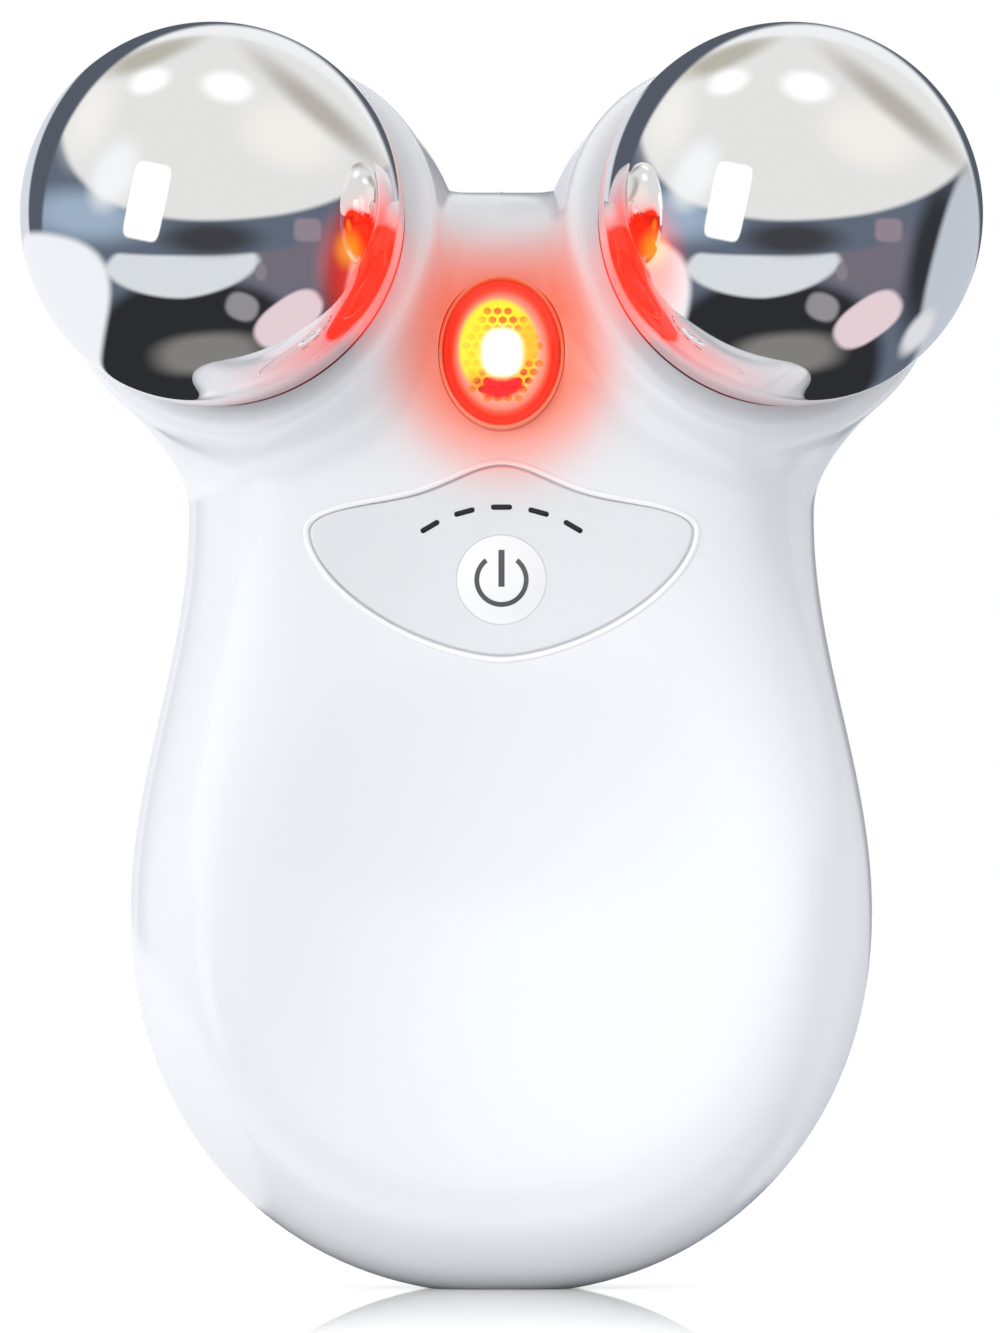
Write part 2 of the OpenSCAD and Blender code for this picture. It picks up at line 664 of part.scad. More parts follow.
module panel_cuts(y0, y1, gap) {
    peg(0, button_z, y0, y1, button_r + gap, 96);
    for (i = [0 : lamps - 1]) dash(i, y0, y1, dash_l + 2 * slack, dash_h + 2 * slack);
}
module panel_inlay() {
    color([0.87, 0.89, 0.9]) difference() {
        plate(0, 0, -panel_face, -panel_face + panel_t, panel_outline(0));
        panel_cuts(-face_y - 2, 0, button_gap);
    }
}
module panel_tape() {
    color([0.9, 0.9, 0.85]) difference() {
        plate(0, 0, -panel_face + panel_t, -panel_floor, panel_outline(-0.4));
        peg(0, button_z, -face_y - 2, 0, button_r + 0.6, 96);
        for (i = [0 : lamps - 1]) dash(i, -face_y - 2, 0, dash_l + 0.5, 1.3);
    }
}
module level_windows() {
    color(black) for (i = [0 : lamps - 1])
        dash(i, -panel_face - 0.02, -panel_face + panel_t, dash_l, dash_h);
}
// clear comb that carries each level lamp's light to its window
module light_guide() {
    back = -board_front - 1.3;
    sweep = dash_step * (lamps - 1) / 2 + 6;
    color([0.85, 0.92, 0.95]) union() {
        for (i = [0 : lamps - 1]) dash(i, -panel_floor + slack, back, dash_l - 0.1, 0.8);
        plate(0, dash_z, back - 1.6, back - 0.6, concat(arc(dash_arc - 0.8, 90 - sweep, 90 + sweep, 24),
            arc(dash_arc + 0.8, 90 + sweep, 90 - sweep, 24)));
    }
}
module level_lamps() {
    color([0.95, 0.95, 0.85]) for (i = [0 : lamps - 1])
        dash(i, -board_front - 0.8, -board_front, 1.6, 0.8);
}
// cap with a shallow dome, a flange behind the wall and a plunger for the switch
module power_button() {
    r = dome_r(button_r, button_rise);
    color([0.95, 0.96, 0.97]) union() {
        intersection() {
            peg(0, button_z, -panel_face - button_proud, -wall_in + 0.3, button_r, 96);
            translate([0, -panel_face - button_proud + r, button_z]) sphere(r = r, $fn = 96);
        }
        peg(0, button_z, -wall_in + 0.1, -wall_in + 0.1 + button_flange_t, button_flange_r, 96);
        peg(0, button_z, -wall_in + 0.5, -board_front - switch_h - stem_proud - 0.02, plunger_r);
    }
}
module button_switch() {
    low = -board_front - switch_h;
    color(black) difference() {
        block([-switch_w / 2, low, button_z - switch_w / 2],
            [switch_w / 2, -board_front, button_z + switch_w / 2]);
        peg(0, button_z, low - 1, low + 1.2, stem_r + slack);
    }
}
module switch_stem() {
    low = -board_front - switch_h;
    color([0.75, 0.72, 0.66]) peg(0, button_z, low - stem_proud, low + 1.15 - button_travel, stem_r);
}

// ---- boards, battery and charging socket ----

module main_board() {
    color(green) difference() {
        plate(0, (board_z0 + board_z1) / 2, -board_front, -board_back, slab(board_w, board_z1 - board_z0, 2));
        for (x = [-1, 1], z = board_screw_z) peg(x * board_screw_x, z, -5, 0, board_screw_r + 0.15, 32);
    }
}
module board_screws() {
    color(chrome) for (x = [-1, 1], z = board_screw_z) {
        peg(x * board_screw_x, z, -board_front - board_screw_l, -board_back + 0.5, board_screw_r, 32);
        peg(x * board_screw_x, z, -board_back, -board_back + board_screw_head_h, board_screw_head_r, 32);
    }
}
module control_chip() {
    color(black) block([-chip_w / 2, -board_back, chip_z], [chip_w / 2, -board_back + chip_t, chip_z + chip_w]);
}
module boost_coil() {
    color([0.25, 0.25, 0.27]) difference() {
        peg(coil_x, coil_z, -board_back, -board_back + coil_t, coil_r);
        peg(coil_x, coil_z, -board_back + coil_t - 0.6, -board_back + coil_t + 1, coil_r - 1);
    }
}
module battery() {
    color([0.75, 0.78, 0.82]) union() {
        plate(0, cell_z0 + cell_h / 2, cradle_y - pad_t - cell_t, cradle_y - pad_t - slack,
            slab(cell_w, cell_h, 2));
        block([-cell_w / 2 + 2, cradle_y - pad_t - cell_t + 1, cell_z0 + cell_h - 1],
            [cell_w / 2 - 2, cradle_y - pad_t - cell_t + 2.2, cell_z0 + cell_h + 2]);
    }
}
module battery_pad() {
    color(black) plate(0, cell_z0 + cell_h / 2, cradle_y - pad_t, cradle_y - slack,
        slab(cell_w - 5, cell_h - 4, 1));
}
module battery_leads() {
    top = cell_z0 + cell_h + 2;
    mid = cradle_y - pad_t - cell_t + 1.6;
    color(red) for (x = [4, 7])
        wire([[x, mid, top + 0.5], [x, mid - 1, top + 5], [x, -board_back + 0.5, top + 6]], wire_r);
}
module charge_board() {
    color(green) difference() {
        plate(0, (charge_z0 + charge_z1) / 2, charge_y, charge_y + board_t - slack,
            slab(charge_w, charge_z1 - charge_z0, 1));
        for (x = [-1, 1]) peg(x * stake_x, stake_z, charge_y - 1, charge_y + board_t + 1, stake_r + slack, 32);
    }
}
module charge_leads() {
    color(red) for (x = [-1.2, 1.2])
        wire([[x, charge_y - 0.5, charge_z1 - 1.5], [x, 1.5, charge_z1 + 1],
            [x, -board_back + 0.5, board_z0 + 1.5]], wire_r);
}
module usb_socket() {
    color([0.7, 0.71, 0.73]) translate([0, usb_y, usb_mouth_z]) difference() {
        linear_extrude(usb_l) polygon(slab(usb_w, usb_h, 1.5));
        translate([0, 0, -1]) linear_extrude(usb_l + 0.5)
            polygon(slab(usb_w - 2 * usb_shell, usb_h - 2 * usb_shell, 1.2));
    }
}
module usb_tongue() {
    color(black) translate([0, usb_y, usb_mouth_z + 0.6])
        linear_extrude(usb_l - 1.1 - slack) square([tongue_w, tongue_t], center = true);
}

front_shell();
back_shell();
sphere_left();
sphere_right();
insert_left();
insert_right();
gasket_left();
gasket_right();
contact_screw_left();
contact_screw_right();
terminal_left();
terminal_right();
electrode_lead_left();
electrode_lead_right();
light_bezel();
light_lens();
light_honeycomb();
light_board();
light_emitter();
light_leads();
panel_inlay();
panel_tape();
level_windows();
light_guide();
level_lamps();
power_button();
button_switch();
switch_stem();
main_board();
board_screws();
control_chip();
boost_coil();
battery();
battery_pad();
battery_leads();
charge_board();
charge_leads();
usb_socket();
usb_tongue();
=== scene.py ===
# %% [markdown]
# # A facial toning device in numpy surfaces and nodes
#
# The object is a white, pear-shaped grip that carries two chrome-plated balls in cups, a red light between
# them, and a wing-shaped panel with a power button. The construction model gives the frame: every piece below
# goes where that model says. Lengths are written in millimetres, and one function turns them into metres.

# %% Load the frame
import json
import math
import bmesh
import bpy
import numpy as np
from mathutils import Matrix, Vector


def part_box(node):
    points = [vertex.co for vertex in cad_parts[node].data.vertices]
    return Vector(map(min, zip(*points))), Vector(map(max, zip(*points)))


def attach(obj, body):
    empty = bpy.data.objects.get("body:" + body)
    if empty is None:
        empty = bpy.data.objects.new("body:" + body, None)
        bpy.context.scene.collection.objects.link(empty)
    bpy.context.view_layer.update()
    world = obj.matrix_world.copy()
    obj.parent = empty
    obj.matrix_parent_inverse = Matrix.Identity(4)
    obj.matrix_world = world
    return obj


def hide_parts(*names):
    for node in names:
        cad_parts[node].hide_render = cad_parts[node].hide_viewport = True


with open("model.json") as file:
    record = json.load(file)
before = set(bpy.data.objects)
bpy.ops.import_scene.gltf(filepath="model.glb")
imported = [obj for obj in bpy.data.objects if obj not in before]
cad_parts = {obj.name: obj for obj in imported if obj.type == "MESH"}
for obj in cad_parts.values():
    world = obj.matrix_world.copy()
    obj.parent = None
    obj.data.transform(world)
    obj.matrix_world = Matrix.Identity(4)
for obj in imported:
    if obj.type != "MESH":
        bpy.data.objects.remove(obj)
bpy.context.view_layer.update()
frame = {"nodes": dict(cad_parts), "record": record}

MM = 0.001
NODES = frame["nodes"]


# %% [markdown]
# ## Sizes that come from the frame
#
# A ball's box gives its centre and radius, the panel's box its width and the button's box its place. Reading
# them keeps the looks and the construction together when a size changes.

# %% Read the driving sizes
def corners(node):
    """Lowest and highest corner of a node, in millimetres."""
    low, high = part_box(node)
    return np.array(low) / MM, np.array(high) / MM


ball_low, ball_high = corners("sphere_right")
BALL_R = (ball_high[1] - ball_low[1]) / 2
BALL_AT = (ball_low + ball_high) / 2
panel_low, panel_high = corners("panel_inlay")
PANEL_W = panel_high[0] - panel_low[0]
PANEL_FACE = -panel_low[1]
button_low, button_high = corners("power_button")
BUTTON_Z = (button_low[2] + button_high[2]) / 2
BUTTON_TOP = -button_low[1]
print(f"ball radius {BALL_R:.2f}, centre {BALL_AT.round(2)}; panel {PANEL_W:.1f} wide, face at {PANEL_FACE:.2f}")


# %% [markdown]
# ## The form of the grip as a field
#
# A moulded grip has no edges to start from, so its form is written as a field: a number that is below zero
# inside the plastic and above zero outside. Widths and depths glide through four stations, a flat face with a
# thumb dish is cut in by a smooth intersection, and two horns join by a smooth union. The field takes whole
# arrays of points, so the same few lines later give the surface, its normals and the red glow's places.

# %% Driving values of the grip
BELLY_W, BELLY_Z, NECK_W, NECK_Z, SADDLE_Z = 58.6, 29.6, 49.4, 61.0, 86.6
CROWN_Z, CLOSING_Z = 82.0, 74.0
FRONT_DEPTHS = (15.4, 15.4, 14.2, 9.2)
BACK_DEPTHS = (15.0, 17.2, 13.2, 12.8)
MIDDLES = (0.0, 0.0, 0.4, 2.2)
FACE_Y, FACE_BLEND, FOOT_CUT, WALL = 11.5, 2.0, 0.5, 1.8
DISH_D, DISH_Z, DISH_H, DISH_W = 1.9, 28.0, 24.0, 21.0
ROUND_P, HORN_BLEND = 2.5, 4.5
BELLY_P, CROWN_P, FOOT_CLOSING_P, CROWN_CLOSING_P = 2.1, 3, 2.6, 2.3
BALL_TILT, BALL_TURN = math.radians(30), math.radians(42)
CUP_R, CUP_RIM, CUP_TAPER, RIM_BLEND = 15.9, 6.8, math.radians(4), 1.5
REAR_DEPTH, REAR_BLEND = 22.0, 10.0
BALL_GAP, LIP_GAP, CUP_WALL = 0.35, 0.08, 1.6
LIP_CLOSING, LIP_ROUND = 0.16, 0.15
AXIS = np.array([math.sin(BALL_TILT) * math.cos(BALL_TURN), -math.cos(BALL_TILT),
                 math.sin(BALL_TILT) * math.sin(BALL_TURN)])


# %% Field helpers
def ease(a, b, u):
    """Goes from a to b as u goes from 0 to 1, level at both ends: a + (b - a) u^2 (3 - 2u)."""
    v = np.clip(u, 0, 1)
    return a + (b - a) * v * v * (3 - 2 * v)


def glide(z, stations):
    """A value that eases from station to station up the grip: foot, belly, neck and crown."""
    foot, belly, neck, crown = stations
    low = ease(foot, belly, z / BELLY_Z)
    mid = ease(belly, neck, (z - BELLY_Z) / (NECK_Z - BELLY_Z))
    high = ease(neck, crown, (z - NECK_Z) / (CROWN_Z - NECK_Z))
    return np.where(z < BELLY_Z, low, np.where(z < NECK_Z, mid, high))


def arch(q, p):
    """Height of a superellipse of power p at the fraction q of its half width: (1 - q^p)^(1/p)."""
    return np.maximum(1 - np.clip(q, 0, 1) ** p, 0) ** (1 / p)


def melt(a, b, k):
    """Smooth union of two fields: their minimum, less a parabola where they differ by under k."""
    h = np.maximum(k - np.abs(a - b), 0)
    return np.minimum(a, b) - h * h / (4 * k)


def trim(a, b, k):
    """Smooth intersection of two fields, the mirror image of melt."""
    return -melt(-a, -b, k)


# %% The grip and its horns
def grip_field(x, y, z, t):
    """Superelliptic section: |x/w|^p + |y/d|^p = 1, with w and d gliding up the grip, cut by the front face."""
    low, high = -FOOT_CUT + t, SADDLE_Z - t
    swing = (BELLY_W - NECK_W) / 4 * np.cos(np.pi * (z - BELLY_Z) / (NECK_Z - BELLY_Z))
    width = np.where(z < BELLY_Z, (BELLY_W / 2 - t) * arch((BELLY_Z - z) / (BELLY_Z - low), BELLY_P),
                     np.where(z < NECK_Z, (BELLY_W + NECK_W) / 4 - t + swing,
                              (NECK_W / 2 - t) * arch((z - NECK_Z) / (high - NECK_Z), CROWN_P)))
    closing = np.where(z < BELLY_Z, arch((BELLY_Z - z) / (BELLY_Z - low), FOOT_CLOSING_P),
                       arch((z - CLOSING_Z) / (high - CLOSING_Z), CROWN_CLOSING_P))
    mid = glide(z, MIDDLES)
    front, back = glide(z, FRONT_DEPTHS) + mid - t, glide(z, BACK_DEPTHS) - mid - t
    w = np.maximum(width, 0.001)
    depth = np.where(y < mid, front, back) * np.maximum(closing, 0.001)
    s = ((np.abs(x) / w) ** ROUND_P + (np.abs(y - mid) / depth) ** ROUND_P) ** (1 / ROUND_P)
    dome = np.maximum((s - 1) * np.minimum(depth, w), np.maximum(low - z, z - high))
    c = np.cos(np.pi / 2 * np.clip((z - DISH_Z) / DISH_H, -1, 1))
    face = FACE_Y - DISH_D * c * c * (1 - (x / DISH_W) ** 2)
    return trim(dome, t - face - y, FACE_BLEND)


def from_ball(x, y, z):
    """Squared distance from the ball's centre, and how far along its axis. Both sides are alike, so it uses |x|."""
    qx, qy, qz = np.abs(x) - BALL_AT[0], y - BALL_AT[1], z - BALL_AT[2]
    return qx * qx + qy * qy + qz * qz, qx * AXIS[0] + qy * AXIS[1] + qz * AXIS[2]


def horn_field(x, y, z, t):
    """A cone about the ball's axis, rounded behind."""
    square, a = from_ball(x, y, z)
    rho = np.sqrt(np.maximum(square - a * a, 0))
    side = (rho - CUP_R + t - (a + CUP_RIM) * math.tan(CUP_TAPER)) * math.cos(CUP_TAPER)
    return trim(trim(side, t - REAR_DEPTH - a, REAR_BLEND), a, FACE_BLEND)


def field(p, t=0.0):
    """Both forms joined. p is an array of points, and t moves the whole surface inwards. The outer surface
    (t = 0) also stops at the rim plane of each cup, with a rounded edge."""
    x, y, z = p[..., 0], p[..., 1], p[..., 2]
    form = melt(grip_field(x, y, z, t), horn_field(x, y, z, t), HORN_BLEND)
    if t > 0:
        return form
    return trim(form, from_ball(x, y, z)[1] + CUP_RIM, RIM_BLEND)


def gradient(p, step=0.02):
    """Gradient of the field by central differences."""
    return np.stack([field(p + d) - field(p - d) for d in np.eye(3) * step], -1) / (2 * step)


def slope(p):
    """Unit gradient of the field, which is the surface's outward normal."""
    g = gradient(p)
    return g / np.maximum(np.linalg.norm(g, axis=-1, keepdims=True), 1e-9)


print("the field is", float(field(np.array([0.0, 0.0, 40.0])).round(1)), "mm deep inside the grip")


# %% [markdown]
# ## A fan of rays finds the surface
#
# The surface is a grid of two parameters: how far round the outline a ray leaves, from the foot over the horn
# to the saddle, and how far it turns from the front to the back. Each ray marches until the field changes sign
# and then halves its last step. A latitude grid would tear in the valley between the horns, and a remesh would
# blur the rims, so the fan has its own stations for where rays start and how they lean.

# %% Stations of the fan
FAN = np.array([
    [0, 0, BELLY_Z + 6.4, -90],
    [0.14, 0, BELLY_Z + 6.4, -50],
    [0.26, 1, BELLY_Z + 8.4, -12],
    [0.36, 5, NECK_Z - 11, 0],
    [0.44, 8, NECK_Z, 0],
    [0.5, BALL_AT[0] - 9.7, BALL_AT[2] - 12.6, -22],
    [0.55, BALL_AT[0] - 5.7, BALL_AT[2] - 5.6, -42],
    [0.64, BALL_AT[0] - 4.7, BALL_AT[2] - 3.6, 0],
    [0.76, BALL_AT[0] - 4.7, BALL_AT[2] - 3.6, 60],
    [0.88, BALL_AT[0] - 3.7, BALL_AT[2] - 5.6, 124],
    [0.925, BALL_AT[0] - 10.7, BALL_AT[2] - 9, 119],
    [0.935, BALL_AT[0] - 14.7, BALL_AT[2] - 9.6, 109],
    [0.973, 1, NECK_Z + 4, 91.5],
    [1, 0, NECK_Z + 4, 90]])
print(len(FAN), "stations: share of the way round, start x, start z, lean in degrees")
HUB_Y, HUB_Z, PULL_P = 0.4, NECK_Z - 1, 0.8


def along_fan(s):
    """Cubic Hermite curve through the stations with centred slopes; the height is level at both ends."""
    x, v = FAN[:, 0], FAN[:, 1:]
    m = np.zeros_like(v)
    m[1:-1] = (v[2:] - v[:-2]) / (x[2:] - x[:-2])[:, None]
    m[0], m[-1] = (v[1] - v[0]) / (x[1] - x[0]), (v[-1] - v[-2]) / (x[-1] - x[-2])
    m[[0, -1], 1] = 0
    i = np.clip(np.searchsorted(x, s, side="right") - 1, 0, len(x) - 2)
    h = (x[i + 1] - x[i])[:, None]
    u = (s - x[i])[:, None] / h
    out = (2 * u**3 - 3 * u**2 + 1) * v[i] + (u**3 - 2 * u**2 + u) * h * m[i]
    return out + (3 * u**2 - 2 * u**3) * v[i + 1] + (u**3 - u**2) * h * m[i + 1]


# %% March the rays
SHORTEST_STEP, STEP_SHARE, HALVINGS = 0.25, 0.7, 20


def march(origin, ray, t):
    """Distance along each ray to the surface: steps of a share of the depth, then halvings."""
    near = np.zeros(ray.shape[:-1])
    far, r = near.copy(), near.copy()
    found = np.zeros(near.shape, bool)
    while not found.all():
        f = field(origin + r[..., None] * ray, t)
        hit = (f >= 0) & ~found
        far = np.where(hit, r, far)
        found |= hit
        near = np.where(found, near, r)
        r = np.where(found, r, r + np.maximum(SHORTEST_STEP, -STEP_SHARE * f))
    for _ in range(HALVINGS):
        half = (near + far) / 2
        inside = field(origin + half[..., None] * ray, t) < 0
        near, far = np.where(inside, half, near), np.where(inside, far, half)
    return (near + far) / 2


def skin(rows, turns, t=0.0):
    """Closed ring of surface points: rows round the right half and its mirror image, front to back."""
    x, z, lean = (c[:, None] for c in along_fan(np.linspace(0, 1, rows + 1)).T)
    lean = np.radians(lean)
    turn = np.linspace(0, np.pi, turns + 1)[None, :]
    pull = np.sin(turn) ** PULL_P
    origin = np.stack(np.broadcast_arrays(pull * x, HUB_Y, HUB_Z + pull * (z - HUB_Z)), -1)
    parts = np.broadcast_arrays(np.sin(turn) * np.cos(lean), -np.cos(turn), np.sin(turn) * np.sin(lean))
    ray = np.stack(parts, -1)
    right = origin + march(origin, ray, t)[..., None] * ray
    right[[0, -1], :, 0] = 0
    left = right[::-1][1:-1] * [-1, 1, 1]
    return np.concatenate([right, left])


# %% [markdown]
# ## From arrays to meshes
#
# Every piece is a grid of points, so a few helpers make all of them: one numbers the quads of a grid, one
# closes a round grid at its poles, and one hands the arrays to Blender. A finished piece's object stays at
# the origin, with its place in its mesh.

# %% Grid helpers
def quads(rows, cols, wrap_rows=False, wrap_cols=False):
    """Corner numbers of the quads of a rows by cols grid, wrapped where it closes on itself."""
    i = np.arange(rows if wrap_rows else rows - 1)[:, None]
    j = np.arange(cols if wrap_cols else cols - 1)[None, :]
    k, l = (i + 1) % rows, (j + 1) % cols
    return np.stack([i * cols + j, k * cols + j, k * cols + l, i * cols + l], -1).reshape(-1, 4)


def spindle(points):
    """Closes a grid whose first and last columns are each one point: a fan of triangles at both poles."""
    rows, cols = points.shape[:2]
    m = cols - 2
    body = points[:, 1:-1].reshape(-1, 3)
    flat = np.concatenate([body, points[:1, 0], points[:1, -1]])
    i = np.arange(rows)
    k = (i + 1) % rows
    first = np.stack([np.full(rows, rows * m), k * m, i * m], -1)
    last = np.stack([np.full(rows, rows * m + 1), i * m + m - 1, k * m + m - 1], -1)
    return flat, [*quads(rows, m, wrap_rows=True).tolist(), *first.tolist(), *last.tolist()]


def add_object(name, data):
    """Puts a mesh, lamp or camera into the scene."""
    made = bpy.data.objects.new(name, data)
    bpy.context.scene.collection.objects.link(made)
    return made


def make_mesh(name, points, faces):
    """A mesh object in the scene from points in millimetres; its faces are turned outwards."""
    mesh = bpy.data.meshes.new(name)
    faces = faces.tolist() if isinstance(faces, np.ndarray) else faces
    mesh.from_pydata((np.asarray(points, float).reshape(-1, 3) * MM).tolist(), [], faces)
    mesh.validate()
    piece = add_object(name, mesh)
    if volume(mesh) < 0:
        mesh.flip_normals()
    return piece


def volume(mesh):
    """Signed volume: a sixth of the sum of corner . (corner x corner) over the triangles."""
    mesh.calc_loop_triangles()
    tri = np.empty(len(mesh.loop_triangles) * 3, np.int32)
    mesh.loop_triangles.foreach_get("vertices", tri)
    co = np.empty(len(mesh.vertices) * 3)
    mesh.vertices.foreach_get("co", co)
    a, b, c = np.moveaxis(co.reshape(-1, 3)[tri.reshape(-1, 3)], 1, 0)
    return float((a * np.cross(b, c)).sum() / 6)


# %% Places on the object
def local_frame(origin, z_axis):
    """Function that carries points from a piece's own frame, with +Z along z_axis, into the object's."""
    z = np.array(z_axis, float) / np.linalg.norm(z_axis)
    y = np.cross(z, (1.0, 0.0, 0.0))
    y = y / np.linalg.norm(y)
    turn = np.stack([np.cross(y, z), y, z])
    return lambda p: np.asarray(p, float) @ turn + np.array(origin, float)


def mirrored(place):
    """The same place on the left half: x changes its sign."""
    return lambda p: place(p) * [-1, 1, 1]


at_ball = local_frame(BALL_AT, AXIS)
BALL_PLACES = {"left": mirrored(at_ball), "right": at_ball}
lens_low, lens_high = corners("light_lens")
LIGHT_Z = (lens_low[2] + lens_high[2]) / 2


def front_at(z):
    """Where a ray from the middle meets the front face at height z."""
    return -march(np.array([[0.0, 0.0, z]]), np.array([[0.0, -1.0, 0.0]]), 0.0)[0]


LIGHT_SEAT = np.array([0, front_at(LIGHT_Z), LIGHT_Z])
LIGHT_LEAN = math.atan2(front_at(LIGHT_Z + 3) - front_at(LIGHT_Z - 3), 6)
LIGHT_OUT = np.array([0, -math.cos(LIGHT_LEAN), math.sin(LIGHT_LEAN)])
at_light = local_frame(LIGHT_SEAT, LIGHT_OUT)
at_front = local_frame([0, 0, 0], [0, -1, 0])
print("the light sits at", LIGHT_SEAT.round(2), "and leans back by", round(math.degrees(LIGHT_LEAN), 1), "degrees")


# %% Revolves, prisms and outlines
def arc(r, start, end, n, centre=(0.0, 0.0)):
    """n + 1 points on an arc, its angles in degrees."""
    a = np.radians(np.linspace(start, end, n + 1))
    return np.stack([centre[0] + r * np.cos(a), centre[1] + r * np.sin(a)], -1)


def revolve(profile, place, segments):
    """A closed profile of (radius, height) carried round the axis: x = r cos, y = r sin."""
    a = np.linspace(0, 2 * np.pi, segments, endpoint=False)[:, None]
    r, h = np.asarray(profile, float).T
    return place(np.stack([r * np.cos(a), r * np.sin(a), h + 0 * a], -1))


def turned(name, profile, place, segments=128):
    """Object of a revolve. A profile that starts and ends on the axis gets poles, any other one is a ring."""
    profile = np.asarray(profile, float)
    grid = revolve(profile, place, segments)
    if abs(profile[0, 0]) < 1e-9 and abs(profile[-1, 0]) < 1e-9:
        return make_mesh(name, *spindle(grid))
    return make_mesh(name, grid, quads(segments, len(profile), True, True))


def prism(name, outline, place, low, high):
    """Solid between two copies of an outline, at the heights low and high of its own frame."""
    n = len(outline)
    ends = [np.column_stack([outline, np.full(n, h)]) for h in (low, high)]
    faces = quads(2, n, wrap_cols=True).tolist() + [list(range(n)), list(range(2 * n - 1, n - 1, -1))]
    return make_mesh(name, place(np.concatenate(ends)), faces)


def ellipse(a, b, n=128):
    """n points on an ellipse."""
    return arc(1.0, 0, 360, n)[:-1] * [a, b]


def slab(w, h, r, n=8):
    """Outline of a rectangle with round corners of radius r."""
    ends = [(w / 2 - r, h / 2 - r), (r - w / 2, h / 2 - r), (r - w / 2, r - h / 2), (w / 2 - r, r - h / 2)]
    return np.concatenate([arc(r, 90 * i, 90 * i + 90, n, c) for i, c in enumerate(ends)])


PANEL_POINTS, PEAK_W, OUT_X = 360, 5, 0.6
TOP, PEAK, BELOW = (2.8, 2.6), (2.5, 2), (9.55, 1.62)
PANEL_TIP_Z = panel_low[2] + BELOW[0]


def panel_outline(grow):
    """Wing-shaped outline: half superellipses, each with a height and a power, above and below the tips, and a
    bell-shaped peak on top. It grows outwards by a distance."""
    a = np.linspace(0, 2 * np.pi, PANEL_POINTS, endpoint=False)
    u = np.cos(a)
    x = PANEL_W / 2 * u
    top = TOP[0] * arch(abs(u), TOP[1]) + PEAK[0] * np.exp(-x * x / PEAK_W**2) * arch(abs(u), PEAK[1])
    z = np.where(a < np.pi, top, -BELOW[0] * arch(abs(u), BELOW[1]))
    away = np.stack([u * OUT_X, z / BELOW[0]], -1)
    away /= np.linalg.norm(away, axis=-1, keepdims=True)
    return np.stack([x, PANEL_TIP_Z + z], -1) + grow * away


# %% [markdown]
# ## Node groups that several finishes share
#
# A moulded or plated surface is never quite even. A few small effects are built once as groups and placed in
# each material with its own values: a fine unevenness of the gloss, a soft wipe of handling, the red glow of
# the light on what lies near it, painted into colour and emission, and a painted red reflection of the light on
# the balls. A group gives out only masks and values, and the shader itself stays in the material.

# %% Helpers for node trees
def link_node(tree, kind, inputs=None, **settings):
    """Adds a node, sets its properties, and gives each input a link or a plain value."""
    node = tree.nodes.new(kind)
    for key, value in settings.items():
        setattr(node, key, value)
    for key, value in (inputs or {}).items():
        if isinstance(value, bpy.types.NodeSocket):
            tree.links.new(value, node.inputs[key])
        else:
            node.inputs[key].default_value = value
    return node


def object_place(tree):
    """Object coordinates, in metres. Every piece stands at the origin, so they are places on the whole object."""
    return tree.nodes.new("ShaderNodeTexCoord").outputs["Object"]


def vectors(tree, operation, a, b=(0.0, 0.0, 0.0)):
    """Output of a Vector Math node: a number for a length or a dot product, a vector for the rest."""
    outputs = link_node(tree, "ShaderNodeVectorMath", {0: a, 1: b}, operation=operation).outputs
    return outputs["Value" if operation in ("LENGTH", "DOT_PRODUCT") else "Vector"]


def sums(tree, operation, a, b=0.0, clamp=False):
    """Output of a Math node."""
    return link_node(tree, "ShaderNodeMath", {0: a, 1: b}, operation=operation, use_clamp=clamp).outputs[0]


def smooth(tree, value, start, end, low=0.0, high=1.0):
    """Smooth step of a value between two thresholds."""
    given = {"Value": value, "From Min": start, "From Max": end, "To Min": low, "To Max": high}
    return link_node(tree, "ShaderNodeMapRange", given, interpolation_type="SMOOTHSTEP").outputs["Result"]


def blend_colour(tree, share, a, b):
    """Mix of two colours by a share."""
    return link_node(tree, "ShaderNodeMix", {0: share, 6: a, 7: b}, data_type="RGBA").outputs[2]


def new_group(name, inputs, outputs):
    """Empty shader group with float inputs and outputs; gives its tree, its input node and its output node."""
    tree = bpy.data.node_groups.new(name, "ShaderNodeTree")
    for title, value in inputs.items():
        tree.interface.new_socket(title, in_out="INPUT", socket_type="NodeSocketFloat").default_value = value
    for title in outputs:
        tree.interface.new_socket(title, in_out="OUTPUT", socket_type="NodeSocketFloat")
    return tree, tree.nodes.new("NodeGroupInput"), tree.nodes.new("NodeGroupOutput")


# %% The shared effects
GRAIN_SHARE, LIGHT_STANDS_OUT = 0.12, 3.0


def make_unevenness():
    """Slow waves and fine grain of a moulded or plated surface, as a height and a change of roughness."""
    tree, given, out = new_group("surface_unevenness", {"Wave Scale": 60, "Grain Scale": 2500, "Spread": 0.04},
                                 ("Height", "Roughness Change"))
    at = object_place(tree)
    waves, grain = [link_node(tree, "ShaderNodeTexNoise", {"Vector": at, "Scale": given.outputs[title],
                                                           "Detail": detail}).outputs["Fac"]
                    for title, detail in (("Wave Scale", 2.0), ("Grain Scale", 1.0))]
    tree.links.new(sums(tree, "ADD", waves, sums(tree, "MULTIPLY", grain, GRAIN_SHARE)), out.inputs["Height"])
    centred = sums(tree, "SUBTRACT", waves, 0.5)
    tree.links.new(sums(tree, "MULTIPLY", centred, given.outputs["Spread"]), out.inputs["Roughness Change"])
    return tree


